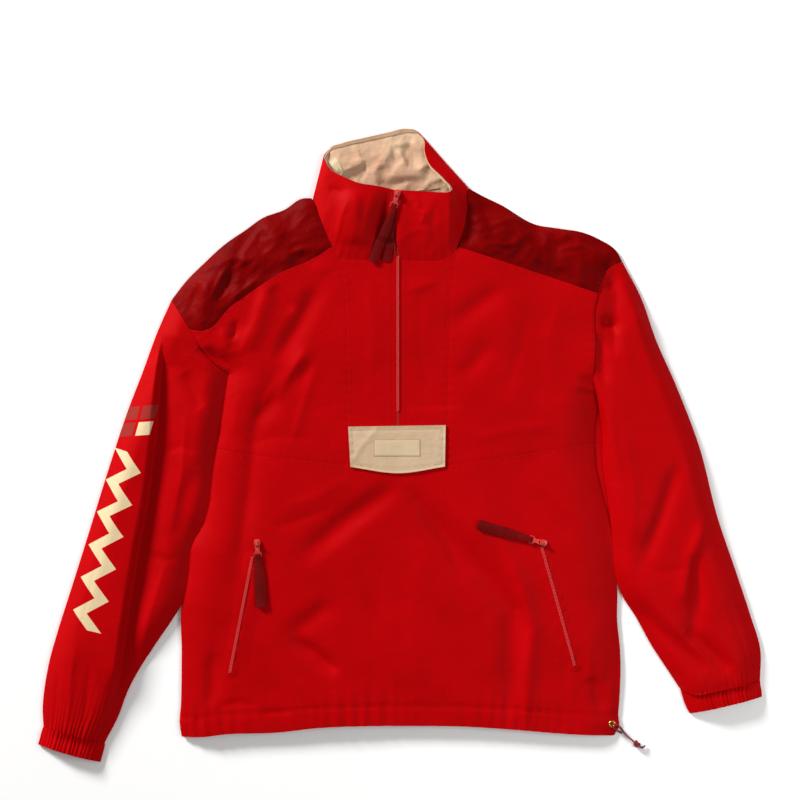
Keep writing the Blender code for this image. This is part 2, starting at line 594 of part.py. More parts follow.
left_armhole = list(reversed(ARM_LEFT + ARM_LEFT_YOKE[1:]))
right_armhole = list(reversed(ARM_RIGHT + ARM_RIGHT_YOKE[1:]))
CUFF_SEAM_LEFT = [(-463, -364), (-442, -372.5), (-405.5, -382), (-383, -385)]
CUFF_SEAM_RIGHT = [(467.5, -304), (434, -312), (401.5, -318.5), (381, -322.5), (362.5, -314.5)]
CUFF_TOP_RIGHT = [(467.5, -305.5), (434, -313.5), (401.5, -320), (381, -323.5), (364, -316)]
# Each sleeve is one cut piece, in two solids so that its collision pieces stay thin round the arm.
faced(tube("sleeve_left_upper", SLEEVE_LEFT, SLEEVE_LEFT_FOLDS, left_armhole, None, 8, SHELL,
           gap=ARMHOLE_GAP, last=0.5))
faced(tube("sleeve_left_lower", SLEEVE_LEFT, SLEEVE_LEFT_FOLDS, None, None, 8, SHELL, gap=GAP, first=0.5))
faced(tube("sleeve_right_upper", SLEEVE_RIGHT, SLEEVE_RIGHT_FOLDS, right_armhole, None, 7, SHELL,
           gap=ARMHOLE_GAP, last=0.5))
faced(tube("sleeve_right_lower", SLEEVE_RIGHT, SLEEVE_RIGHT_FOLDS, None, CUFF_SEAM_RIGHT, 7, SHELL,
           gap=GAP, first=0.5))
faced(tube("cuff_left", CUFF_LEFT, [], None, None, 3, SHELL, wave=1.0))
faced(tube("cuff_right", CUFF_RIGHT, [], CUFF_TOP_RIGHT, None, 3, SHELL, wave=1.0))


# ---------------------------------------------------------------- collar

def collar_grid(around, up):
    """Outer face of the collar, from its foot to its rim."""
    rows = []
    for foot_x, foot_y, foot_z, rim_x, rim_y, rim_z, bulge in COLLAR:
        if foot_z is None:
            foot_z = float(body_height(np.array([foot_x, foot_y]))) + 0.2
        rows.append((rim_x, rim_y, rim_z, foot_x, foot_y, foot_z, bulge))
    rows = np.asarray(rows, float)
    middle = (rows[:, :3] + rows[:, 3:6]) / 2
    steps = np.linalg.norm(np.diff(middle, axis=0), axis=1)
    at = np.concatenate([[0.0], np.cumsum(steps)])
    at /= at[-1]
    slopes = np.gradient(rows, at, axis=0)
    # The stations crowd where the collar turns, so the samples follow them.
    wanted = [0.0]
    for number, step in enumerate(steps):
        parts = max(2 if step > 9 else 3, int(round(step / around)))
        wanted += list(np.linspace(at[number], at[number + 1], parts + 1)[1:])
    wanted = np.array(wanted)
    index = np.clip(np.searchsorted(at, wanted, side="right") - 1, 0, len(rows) - 2)
    span = (at[index + 1] - at[index])[:, None]
    t = (wanted - at[index])[:, None] / span
    ring = ((2 * t ** 3 - 3 * t ** 2 + 1) * rows[index]
            + (t ** 3 - 2 * t ** 2 + t) * slopes[index] * span
            + (3 * t ** 2 - 2 * t ** 3) * rows[index + 1]
            + (t ** 3 - t ** 2) * slopes[index + 1] * span)
    v = np.linspace(0, 1, up + 1)[:, None, None]
    grid = (1 - v) * ring[None, :, 3:6] + v * ring[None, :, :3]
    grid[..., 2] += 4 * v[..., 0] * (1 - v[..., 0]) * ring[None, :, 6]
    grid[..., 2] = np.maximum(grid[..., 2], 0.0)
    return grid


shell_out = collar_grid(COLLAR_STEP, COLLAR_UP)
skin = normals(shell_out)
slab("collar_outer", shell_out, shell_out - skin * WALL, SHELL)
lining_out = shell_out - skin * (WALL + GAP)
lining_in = shell_out - skin * (WALL + GAP + LINING_WALL)
slab("collar_lining", lining_out, lining_in, TAN)

# ---------------------------------------------------------------- patch, label, pocket zips

bpy.context.view_layer.update()
graph = bpy.context.evaluated_depsgraph_get()
RESTS = [BVHTree.FromObject(bpy.data.objects[name], graph) for name in
         ("front_lower", "chest_left", "chest_right", "placket_left", "placket_right",
          "neck_zip", "yoke_left", "yoke_right", "collar_outer", "back_panel")]


def under(x, y):
    """Height of what lies at a plan point."""
    best = 0.0
    for tree in RESTS:
        hit = tree.ray_cast(Vector((x * MM, y * MM, 0.2)), Vector((0, 0, -1)))
        if hit[0] is not None:
            best = max(best, hit[0].z / MM)
    return best


def laid(plan, lift, spread=2.0):
    """The plan grid with the height of what it lies on, taken a little way round each point."""
    made = np.zeros(plan.shape[:-1] + (3,))
    made[..., :2] = plan
    offsets = [(0, 0), (spread, 0), (-spread, 0), (0, spread), (0, -spread)]
    for index in np.ndindex(plan.shape[:-1]):
        x, y = plan[index]
        made[index][2] = max(under(x + dx, y + dy) for dx, dy in offsets) + lift
    return made


def overlay(name, plan, lift, wall, made_of, spread=2.0):
    base = laid(plan, lift, spread)
    upper = base + normals(base) * wall
    return slab(name, upper, base, made_of)


patch_plan = coons(even([PATCH[0], PATCH[1], PATCH[2]], 8), even([PATCH[4], PATCH[3]], 8),
                   even([PATCH[0], PATCH[4]], 4), even([PATCH[2], PATCH[3]], 4))
patch_low = laid(patch_plan, GAP + 0.1)
patch_top = patch_low + normals(patch_low) * WALL
slab("chest_patch", patch_top, patch_low, TAN)
label_plan = coons(even(LABEL[:2], 6), even([LABEL[3], LABEL[2]], 6),
                   even([LABEL[0], LABEL[3]], 2), even([LABEL[1], LABEL[2]], 2))
patch_tree = BVHTree.FromPolygons(
    [Vector(p) for p in patch_top.reshape(-1, 3)],
    [[r * 9 + c, r * 9 + c + 1, r * 9 + c + 10, r * 9 + c + 9] for r in range(4) for c in range(8)])
label_low = np.zeros(label_plan.shape[:-1] + (3,))
for index in np.ndindex(label_plan.shape[:-1]):
    x, y = label_plan[index]
    hit = patch_tree.ray_cast(Vector((x, y, 100)), Vector((0, 0, -1)))
    label_low[index] = (x, y, hit[0].z + GAP + 0.1)
slab("patch_label", label_low + normals(label_low) * WALL, label_low, LABEL_CLOTH)

for name, top_end, foot_end in POCKET_ZIPS:
    head, foot = np.array(top_end), np.array(foot_end)
    direction = (head - foot) / np.linalg.norm(head - foot)
    sideways = np.array([direction[1], -direction[0]]) * POCKET_ZIP_WIDTH / 2
    length_shares = np.linspace(0, 1, 19)[:, None, None]
    middle = foot * (1 - length_shares) + head * length_shares
    width_shares = np.linspace(-1, 1, 3)[None, :, None]
    overlay("pocket_zip_" + name, middle + width_shares * sideways, GAP, 1.4, COIL, 3.0)


# ---------------------------------------------------------------- zip pulls

def plate_outline(rows, samples):
    """Closed outline of a plate from (length, half width) rows."""
    shape = np.asarray(rows, float)
    right = [(x, y) for x, y in shape]
    left = [(x, -y) for x, y in reversed(shape)]
    return right + left


def extruded(name, outline_points, low, high, made_of, place):
    """Flat plate between two heights, put in place by a function of local points."""
    n = len(outline_points)
    points = [place(x, y, high) for x, y in outline_points]
    points += [place(x, y, low) for x, y in outline_points]
    faces = [list(range(n - 1, -1, -1)), [n + k for k in range(n)]]
    for k in range(n):
        after = (k + 1) % n
        faces.append([k, after, n + after, n + k])
    return faced(mesh_object(name, points, faces, made_of, smooth=False))


def boolean(target, other, operation):
    PARTS.objects.unlink(other)
    HELPERS.objects.link(other)
    other.hide_render = True
    other.display_type = "WIRE"
    step = target.modifiers.new(operation.lower() + "_" + other.name, "BOOLEAN")
    step.operation = operation
    step.object = other
    step.solver = "EXACT"


def box_outline(x0, x1, half):
    return [(x0, half), (x1, half), (x1, -half), (x0, -half)]


PLATE_SHAPE = [(-0.7, 2.4), (0.1, 3.1), (5.0, 3.1), (7.6, 2.5), (10.1, 2.8), (12.4, 5.1), (16.7, 5.1),
               (17.5, 4.3)]
BAR_AT = 16.2
SLOT = (12.7, 15.0, 4.1)
WINDOW = (0.7, 4.5, 1.75)


def pull(name, pivot, towards, tail_length, tail_width):
    """Slider, metal tab and webbing tail; the tab turns about the bar under the slider's bridge."""
    start = np.array(pivot)
    direction = np.array(towards) - start
    direction /= np.linalg.norm(direction)
    aside = np.array([-direction[1], direction[0]])
    seat = 0.0
    for along in np.linspace(-7, 5, 7):
        for across in np.linspace(-4, 4, 5):
            x, y = start + direction * along + aside * across
            seat = max(seat, under(x, y))
    seat += GAP

    def flat(x, y, z):
        spot = start + direction * (x - PIVOT_FORWARD) + aside * y
        return (spot[0], spot[1], seat + z)

    body = extruded("slider_" + name, [(-5.6, 2.0), (-4.2, 4.0), (1.0, 4.0), (3.4, 2.6), (3.4, -2.6),
                                       (1.0, -4.0), (-4.2, -4.0), (-5.6, -2.0)],
                    0.0, BODY_HEIGHT, ENAMEL, flat)

    def upright(x, y, z):
        return flat(x, z, y)

    half = BRIDGE_LENGTH / 2
    arch = [(-half, 2.0), (-half, BRIDGE_TOP - 1.2), (-half + 1.0, BRIDGE_TOP), (half - 1.2, BRIDGE_TOP),
            (half - 0.2, BRIDGE_TOP - 1.2), (half - 0.2, 5.0), (half - 0.8, 2.0), (half - 2.0, 2.0),
            (half - 1.3, 5.0), (half - 1.4, BRIDGE_TOP - BRIDGE_BAR),
            (-half + BRIDGE_BAR, BRIDGE_TOP - BRIDGE_BAR), (-half + BRIDGE_BAR, 2.0)]
    bridge = extruded("bridge_" + name, arch, -BRIDGE_WIDTH / 2, BRIDGE_WIDTH / 2, ENAMEL, upright)
    boolean(body, bridge, "UNION")

    # The tab slopes from the hinge to where its end bar clears the cloth.
    end_seat = 0.0
    for along in np.linspace(13, 19, 4):
        for across in np.linspace(-5, 5, 5):
            x, y = start + direction * along + aside * across
            end_seat = max(end_seat, under(x, y))
    bar_height = max(end_seat + 2 * GAP + TAIL_WALL + PLATE / 2 + 0.5, seat + 2.2)
    slope = math.asin((seat + PIVOT_HEIGHT - bar_height) / BAR_AT)

    def sloped(x, y, z):
        along = x * math.cos(slope) - z * math.sin(slope)
        height = seat + PIVOT_HEIGHT - x * math.sin(slope) + z * math.cos(slope)
        spot = start + direction * along + aside * y
        return (spot[0], spot[1], height)

    def plate_place(x, y, z):
        return sloped(x, y, z)

    plate = extruded("pull_" + name, plate_outline(PLATE_SHAPE, 0), -PLATE / 2, PLATE / 2, ENAMEL,
                     plate_place)
    for index, (x0, x1, half_width) in enumerate((WINDOW, SLOT)):
        cutter = extruded("window_%s_%d" % (name, index), box_outline(x0, x1, half_width), -3, 3,
                          ENAMEL, plate_place)
        boolean(plate, cutter, "DIFFERENCE")

    # Tail: over the end bar, through the slot and back under it.
    bar_x = BAR_AT + 0.2
    turn = 0.5 * PLATE + GAP + TAIL_WALL / 2
    wrap = [(bar_x + 1.6, turn), (bar_x - 0.4, turn + 0.1), (14.1, turn - 0.2), (13.75, 0.55),
            (13.75, -0.55), (14.1, -turn + 0.2), (bar_x - 0.4, -turn - 0.1), (bar_x + 1.6, -turn)]
    splay = 0.10 if name == "neck" else 0.0
    path = []
    widths = []
    heads = []
    lengths = np.linspace(tail_length, bar_x + 8, 8)
    for side, order in ((1, lengths), (-1, lengths[::-1])):
        if side == -1:
            for x, z in wrap:
                path.append(plate_place(x, 0, z))
                widths.append(0.5 * tail_width if x < bar_x + 1 else 0.6 * tail_width)
                heads.append(0.0)
        for along in order:
            ease = (along - bar_x) / (tail_length - bar_x)
            angle = side * splay * min(1.0, 1.6 * ease)
            reach = along - (5.0 if side == -1 and name == "neck" else 0.0) * ease
            spot = start + direction * reach * math.cos(angle) - aside * reach * math.sin(angle)
            path.append((spot[0], spot[1], 0.0 if side == -1 else 1.0))
            grown = 0.62 + 0.38 * min(1.0, 3.0 * ease)
            tip = 1.0 - 0.25 * max(0.0, (ease - 0.97) / 0.03)
            widths.append(tail_width * grown * tip)
            heads.append(angle)
    ribbon("tail_" + name, path, widths, heads, direction, aside, len(lengths), len(wrap))
    return seat, slope


def ribbon(name, path, widths, heads, direction, aside, straight, wrap):
    """Webbing along a path; its two straight runs lie on the cloth, one over the other."""
    count_path = len(path)
    centre = np.array(path, float)
    across = np.zeros((count_path, 3))
    across[:, :2] = [aside * math.cos(h) + direction * math.sin(h) for h in heads]
    shares = np.array([-0.5, 0.0, 0.5])
    reach = shares[None, :, None] * np.array(widths)[:, None, None]
    grid = centre[:, None, :] + across[:, None, :] * reach
    top_run = list(range(0, straight))
    low_run = list(range(straight + wrap, count_path))
    for index in low_run:
        for column in range(3):
            x, y = grid[index, column, :2]
            height = max(under(x + dx, y + dy) for dx in (-4, 0, 4) for dy in (-4, 0, 4))
            grid[index, column, 2] = height + GAP + TAIL_WALL / 2
    low = grid[low_run][..., 2]
    for index in low_run:
        grid[index, :, 2] = grid[index, :, 2].max()
    run_heights = np.array([grid[i, 0, 2] for i in low_run])
    wrap_low = centre[straight + wrap - 1, 2]
    wrap_high = centre[straight, 2]
    blend = np.linspace(1, 0, len(low_run)) ** 2.0
    run_heights = np.maximum(run_heights, run_heights * (1 - blend) + wrap_low * blend)
    for rank, index in enumerate(low_run):
        grid[index, :, 2] = run_heights[rank]
    above = run_heights + TAIL_WALL + GAP + 0.2
    above = np.maximum(above, above * (1 - blend) + wrap_high * blend)
    for rank, index in enumerate(reversed(top_run)):
        grid[index, :, 2] = above[rank]
    skin_out = normals(grid)
    faced(slab(name, grid + skin_out * TAIL_WALL / 2, grid - skin_out * TAIL_WALL / 2, WEBBING))


for name, pivot, towards, tail_length, tail_width in PULLS:
    seat, slope = pull(name, pivot, towards, tail_length, tail_width)
    print("pivot", name, np.round(pivot, 2), round(seat + PIVOT_HEIGHT, 3), round(slope, 4))

# ---------------------------------------------------------------- eyelet and drawcord

eye = np.array(EYELET_AT)
reach = EYELET_RADIUS + EYELET_WIRE
heights = [under(eye[0] + reach * math.cos(a), eye[1] + reach * math.sin(a))
           for a in np.linspace(0, 2 * math.pi, 17)]
eye_z = max(heights) + GAP + EYELET_WIRE
ring_points = []
ring_faces = []
AROUND = 24
SECTION = 8
for k in range(AROUND):
    turn = 2 * math.pi * k / AROUND
    for j in range(SECTION):
        tilt = 2 * math.pi * j / SECTION
        radius = EYELET_RADIUS + EYELET_WIRE * math.cos(tilt)
        ring_points.append((eye[0] + radius * math.cos(turn), eye[1] + radius * math.sin(turn),
                            eye_z + EYELET_WIRE * math.sin(tilt)))
        a, b = k * SECTION + j, k * SECTION + (j + 1) % SECTION
        c, d = ((k + 1) % AROUND) * SECTION + (j + 1) % SECTION, ((k + 1) % AROUND) * SECTION + j
        ring_faces.append([a, d, c, b])
faced(mesh_object("hem_eyelet", ring_points, ring_faces, BRASS))

knot = np.array(KNOT_AT)
run = knot - eye
run /= np.linalg.norm(run)
profile = [(-0.5, 1.75), (-0.5, 2.6), (-0.42, 3.9), (-0.25, 4.8), (0.0, 5.0), (0.25, 4.8), (0.42, 3.9),
           (0.5, 2.6), (0.5, 1.75)]
knot_points = []
knot_faces = []
for k in range(AROUND):
    turn = 2 * math.pi * k / AROUND
    for length, radius in profile:
        lumps = 1.0 + (0.05 * math.sin(3 * turn + 4 * length) if radius > 2 else 0.0)
        sideways = radius * lumps * math.cos(turn)
        spot = knot + run * length * KNOT_LENGTH + np.array([-run[1], run[0]]) * sideways
        knot_points.append((spot[0], spot[1], KNOT_RADIUS + 0.3 + radius * lumps * math.sin(turn)))
n = len(profile)
for k in range(AROUND):
    for j in range(n):
        after, ring_after = (j + 1) % n, (k + 1) % AROUND
        knot_faces.append([k * n + j, ring_after * n + j, ring_after * n + after, k * n + after])
faced(mesh_object("cord_knot", knot_points, knot_faces, CORD))


def cord(name, rows):
    """Round cord through rows of (x, y, z)."""
    track = even([(x, y, z) for x, y, z in rows], 22)
    line = bpy.data.curves.new(name, "CURVE")
    line.dimensions = "3D"
    line.bevel_depth = CORD_RADIUS * MM
    line.bevel_resolution = 2
    line.use_fill_caps = True
    spline = line.splines.new("POLY")
    spline.points.add(len(track) - 1)
    for point, (x, y, z) in zip(spline.points, track):
        point.co = (x * MM, y * MM, z * MM, 1.0)
    line.materials.append(CORD)
    made = bpy.data.objects.new(name, line)
    PARTS.objects.link(made)


side = np.array([-run[1], run[0]])
over = eye_z + EYELET_WIRE + CORD_RADIUS + 0.5
FLOOR = CORD_RADIUS + 0.15
THROUGH = KNOT_RADIUS + 0.3
end = np.array(CORD_END)


def along(distance, offset, height):
    spot = eye + run * distance + side * offset
    return (spot[0], spot[1], height)


gap_to_knot = np.linalg.norm(knot - eye)
cord("hem_cord", [
    along(0.0, 1.2, eye_z + 0.6), along(1.2, 1.4, over - 0.6), along(3.6, 2.4, over), along(7.0, 3.4, over - 0.8),
    along(12.0, 3.2, FLOOR + 2.0), along(17.0, 1.8, FLOOR + 0.6), along(22.0, 0.6, FLOOR + 1.6),
    along(gap_to_knot - 8.5, 0.0, THROUGH - 1.0),
    along(gap_to_knot - 5.5, 0.0, THROUGH), along(gap_to_knot, 0.0, THROUGH),
    along(gap_to_knot + 5.5, 0.0, THROUGH), along(gap_to_knot + 8.0, 0.0, THROUGH - 1.2), (end[0], end[1], FLOOR + 0.6)])
cord("hem_cord_return", [
    along(0.0, -1.2, eye_z + 0.6), along(1.2, -1.4, over - 0.6), along(3.6, -2.2, over), along(7.0, -2.8, over - 0.8),
    along(11.0, -2.6, FLOOR + 2.0), along(15.0, -1.9, FLOOR + 0.6), along(19.0, -1.75, FLOOR + 0.3)])
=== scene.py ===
"""Looks of the anorak pullover, laid flat on its back, seen from straight above."""

import json
import math

import bmesh
import bpy
import numpy as np
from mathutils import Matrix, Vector, noise
from mathutils.bvhtree import BVHTree


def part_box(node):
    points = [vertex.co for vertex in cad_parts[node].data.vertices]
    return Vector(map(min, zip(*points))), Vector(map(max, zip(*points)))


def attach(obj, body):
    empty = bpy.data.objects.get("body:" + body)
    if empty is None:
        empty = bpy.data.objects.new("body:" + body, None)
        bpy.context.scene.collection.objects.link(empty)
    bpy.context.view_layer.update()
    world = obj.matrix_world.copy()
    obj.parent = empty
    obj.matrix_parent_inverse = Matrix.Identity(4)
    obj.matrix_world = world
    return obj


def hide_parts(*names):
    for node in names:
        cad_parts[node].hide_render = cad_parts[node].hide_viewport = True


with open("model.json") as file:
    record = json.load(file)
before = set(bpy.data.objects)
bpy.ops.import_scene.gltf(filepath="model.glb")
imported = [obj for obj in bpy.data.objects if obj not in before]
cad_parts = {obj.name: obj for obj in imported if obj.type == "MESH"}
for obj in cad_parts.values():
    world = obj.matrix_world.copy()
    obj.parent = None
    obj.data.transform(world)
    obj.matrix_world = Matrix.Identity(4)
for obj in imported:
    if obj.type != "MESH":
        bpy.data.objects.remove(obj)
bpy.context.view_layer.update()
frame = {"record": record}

# The tables are in millimetres: +X to the right, +Y to the collar, +Z up from the surface.
MM = 0.001
CLOTH = 0.8
GAP = 0.3
SEAM_TOP = 2.8

# Height of the front over its edges at each distance up the body: (y, loft).
LOFT = [(-380, 9.5), (-250, 10.5), (-30, 12.0), (120, 13.5), (250, 15.0), (330, 15.0)]

# The front falls to the back panel along these edges: (roll width, plan points).
HEM_LEFT = [(-283.5, -378.5), (-286, -362.5), (-284.5, -336.5), (-283.5, -269), (-283.5, -206.5),
            (-277, -173), (-271.5, -130), (-256, -101.5), (-248.5, -71.5), (-244.5, -27.5), (-240.5, -4)]
HEM_RIGHT = [(278, -377), (284.5, -365.5), (283.5, -349.5), (284.5, -336.5), (286, -269), (282, -225),
             (282, -184.5), (281, -175.5), (271.5, -99), (262.5, -66.5), (253.5, -27.5), (251, 2.5)]
SIDE_LEFT = [(-240.5, -4), (-235.5, 15.5), (-230, 58.5), (-223.5, 92.5)]
SIDE_RIGHT = [(251, 2.5), (252, 26), (256, 53.5), (256, 61)]
ARM_LEFT = [(-223.5, 92.5), (-242, 108), (-258.5, 127.5), (-271.5, 149.5)]
ARM_LEFT_YOKE = [(-271.5, 149.5), (-281, 165), (-296.5, 188.5)]
ARM_RIGHT = [(256, 61), (251, 79.5), (252, 132.5), (251, 173), (255, 196.5)]
ARM_RIGHT_YOKE = [(255, 196.5), (262.5, 217), (270.5, 230), (288.5, 238)]
SHOULDER_LEFT = [(-296.5, 188.5), (-277.5, 213), (-255, 235.5), (-225, 262.5), (-200, 279.5), (-178, 295),
                 (-150, 305.5), (-126, 320), (-114.5, 320)]
SHOULDER_RIGHT = [(88.5, 333), (109, 322.5), (130, 312.5), (177, 286), (208, 281), (239, 275.5),
                  (260, 266.5), (281, 252), (288.5, 238)]
YOKE_SEAM_LEFT = [(-271.5, 149.5), (-256, 148), (-245.5, 151), (-219.5, 179), (-200, 192.5), (-167.5, 214.5),
                  (-153, 223.5), (-118.5, 238), (-86, 257.5)]
YOKE_SEAM_RIGHT = [(76.5, 256), (136.5, 236.5), (195, 217), (255, 196.5)]
NECK_LEFT = [(-86, 257.5), (-78, 247), (-62.5, 242), (-34, 240.5), (-5, 243)]
NECK_RIGHT = [(-0.5, 243), (32.5, 241), (58.5, 243), (76.5, 256)]
YOKE_NECK_LEFT = [(-86, 257.5), (-95, 275.5), (-102.5, 291), (-114.5, 320)]
YOKE_NECK_RIGHT = [(76.5, 256), (82, 282), (86, 309.5), (88.5, 333)]
PLACKET_LEFT = [(-67.5, -25.5), (-67.5, 79.5), (-69, 158.5), (-71.5, 209.5), (-78, 232.5), (-86, 257.5)]
PLACKET_RIGHT = [(60, -27), (61, 27.5), (62.5, 105.5), (65, 186), (70, 238), (76.5, 256)]
ZIP_LEFT = [(-5, -27.5), (-5, 108), (-5, 243)]
ZIP_RIGHT = [(-0.5, -27.5), (-0.5, 108), (-0.5, 243)]
CHEST_SEAM_LEFT = [(-240.5, -4), (-203, -11), (-147.5, -17.5), (-67.5, -25.5)]
PLACKET_FOOT_LEFT = [(-67.5, -25.5), (-36.5, -27.5), (-5, -27.5)]
ZIP_FOOT = [(-5, -27.5), (-0.5, -27.5)]
PLACKET_FOOT_RIGHT = [(-0.5, -27.5), (30, -27.5), (60, -27)]
CHEST_SEAM_RIGHT = [(60, -27), (132.5, -16.5), (199, -5.5), (251, 2.5)]
HEM = [(-283.5, -378.5), (-256, -378), (-227.5, -374.5), (-157.5, -372), (-110.5, -366.5), (-23.5, -363.5),
       (0, -363.5), (89.5, -364.5), (143, -368), (223.5, -374.5), (278, -377)]
EDGES = [
    (46.0, HEM_LEFT + SIDE_LEFT[1:]),
    (46.0, HEM_RIGHT + SIDE_RIGHT[1:]),
    (44.0, SHOULDER_LEFT),
    (44.0, SHOULDER_RIGHT),
]

# The thick neck seam lifts both ends of the shoulders: broadly on the panels, and more narrowly where
# the collar and the trim follow them.
NECK_CORNERS = [(88.5, 333), (-114.5, 320)]
CORNER_LIFT = 5.0
PANEL_LIFT_REACH = 16.0
TRIM_LIFT_REACH = 5.0
LEAST_LOFT = 1.5

# Folds of the body: (name, height, width to the left of its run, width to the right, run).
BODY_FOLDS = [
    ("yoke_left_band", 3.0, 14, 5, [(-179.5, 292.5), (-166.5, 261.5), (-154.5, 230)]),
    ("yoke_left_valley", -4.0, 9, 9, [(-197.5, 271.5), (-213, 238), (-232.5, 191)]),
    ("yoke_left_crease", 4.0, 9, 9, [(-238, 232.5), (-256, 186), (-252, 154.5)]),
    ("yoke_right_collar_dip", -6.5, 10, 15, [(86, 323.5), (91, 286), (83, 258.5)]),
    ("yoke_right_lens", 2.5, 12, 12, [(156, 256), (195, 238), (236.5, 238)]),
    ("yoke_right_dip", -3.5, 9, 9, [(234, 266.5), (252, 258.5), (269, 251)]),
    ("chest_left_ridge", 4.0, 13, 8, [(-171.5, 204), (-184.5, 160), (-196.5, 121)]),
    ("chest_left_dart", -4.0, 8, 8, [(-166.5, 204), (-153.5, 188.5), (-138, 173)]),
    ("chest_left_valley_a", -4.5, 13, 10, [(-106.5, 204), (-132.5, 154.5), (-160, 108)]),
    ("chest_left_valley_b", -4.0, 12, 9, [(-118.5, 108), (-151, 71.5), (-186, 31)]),
    ("chest_left_ridge_b", 3.0, 10, 10, [(-119.5, 123.5), (-140.5, 87), (-161, 56)]),
    ("chest_right_valley_a", -3.0, 13, 13, [(132.5, 203), (101.5, 180.5), (71.5, 158.5)]),
    ("chest_right_valley_b", -2.5, 12, 12, [(117, 131.5), (99, 110.5), (79.5, 87)]),
    ("front_left_valley", -5.0, 14, 14, [(-5, -53.5), (-65, -95), (-126, -144.5)]),
    ("front_right_valley", -5.0, 13, 15,
     [(26, -76.5), (112, -170.5), (145.5, -214.5), (144.5, -282), (144.5, -352.5)]),
    ("front_right_ridge", 4.5, 12, 7,
     [(130, -123.5), (156, -180.5), (170.5, -235.5), (164, -290), (160, -352.5)]),
    ("front_low_arch", -3.0, 12, 12, [(-143, -245.5), (-114.5, -225), (-91, -204)]),
    ("front_low_valley", -3.0, 11, 11, [(-143, -248.5), (-112, -271.5), (-80.5, -295)]),
    ("front_side_left", -4.0, 11, 9, [(-242, -269), (-243, -292.5), (-244.5, -336.5)]),
    ("front_side_right", -4.0, 10, 9, [(244.5, -300.5), (255, -321), (264, -344.5)]),
]

# Left sleeve, armhole to cuff: (outer edge, inner edge, crown height).
SLEEVE_LEFT = [
    ((-296.5, 188.5), (-223.5, 92.5), 13.0),
    ((-314.5, 148), (-232.5, 53.5), 15.0),
    ((-334, 95), (-240, 6.5), 16.0),
    ((-352.5, 47), (-246.5, -39), 16.0),
    ((-375.5, -22), (-254.5, -91), 16.0),
    ((-387.5, -60), (-271.5, -125), 16.0),
    ((-399, -97.5), (-275.5, -149.5), 16.0),
    ((-427.5, -188.5), (-287.5, -212), 16.0),
    ((-444.5, -242), (-318.5, -260), 15.5),
    ((-455, -279.5), (-338, -290), 15.0),
    ((-462, -318.5), (-355, -322.5), 14.0),
    ((-464, -342), (-366.5, -353.5), 13.0),
    ((-463, -364), (-383, -385), 12.0),
]
SLEEVE_LEFT_FOLDS = [
    ("pleat_crest", 5.5, 4, 15,
     [(-308, 143), (-314.5, 75.5), (-318.5, 19.5), (-326.5, -44), (-330, -71.5), (-340.5, -127.5),
                                 (-351, -188.5), (-359, -242), (-367, -307), (-378.5, -347)]),
    ("pleat_foot", -6.0, 19, 4,
     [(-299, 139), (-304, 75.5), (-308, 19.5), (-316, -44), (-320, -71.5), (-330, -127.5),
                                 (-340.5, -188.5), (-349.5, -242), (-360, -307), (-372, -347)]),
    ("elbow_dip", -3.0, 12, 12, [(-265, -32.5), (-278, -71.5), (-288.5, -123.5)]),
    ("upper_dip", -3.0, 9, 9, [(-278, 95), (-268, 74), (-255, 48)]),
]
# Right sleeve, armhole to cuff.
SLEEVE_RIGHT = [
    ((288.5, 238), (256, 61), 13.0),
    ((312, 193.5), (263.5, 26), 15.0),
    ((333, 135), (265, -19.5), 16.0),
    ((357.5, 79.5), (271.5, -65), 16.5),
    ((387.5, 1.5), (278.5, -117), 17.0),
    ((413.5, -97.5), (285.5, -188.5), 16.5),
    ((437, -166.5), (308, -226), 16.0),
    ((455, -221), (327.5, -261.5), 15.0),
    ((468, -266.5), (347, -291), 14.0),
    ((467.5, -304), (362.5, -314.5), 12.0),
]
SLEEVE_RIGHT_FOLDS = [
    ("cuff_valley_a", -5.0, 10, 12, [(304, -209.5), (351, -253.5), (398, -292.5)]),
    ("cuff_valley_b", -4.5, 9, 10, [(370.5, -238), (400.5, -266.5), (426.5, -292.5)]),
    ("elbow_crease", -4.0, 9, 11, [(378.5, -138), (385, -196.5), (379.5, -243)]),
    ("streak_a", -4.0, 10, 10, [(357.5, -27.5), (338, -89.5), (314.5, -152)]),
    ("streak_b", 3.5, 8, 9, [(394, -97.5), (375.5, -144.5), (364, -201.5)]),
    ("armhole_wedge", -4.0, 9, 7, [(261.5, 160), (273, 157.5), (283.5, 153.5)]),
    ("shoulder_ridge", 3.0, 9, 9, [(288.5, 219.5), (300.5, 188.5), (312, 154.5)]),
    ("armhole_shadow", -3.0, 8, 9, [(260, 144.5), (261.5, 110.5), (265, 79.5)]),
]
CUFF_LEFT = [
    ((-463, -365), (-383.5, -386), 11.5),
    ((-465.5, -372), (-384, -392.5), 9.5),
    ((-468, -382), (-387.5, -405.5), 10.5),
    ((-470, -388.5), (-389, -411.5), 11.0),
]
CUFF_RIGHT = [
    ((467.5, -305.5), (364, -316), 11.5),
    ((468, -310.5), (366.5, -325), 9.5),
    ((469.5, -320), (372, -340.5), 10.5),
    ((470, -326.5), (376.5, -348.5), 11.0),
]

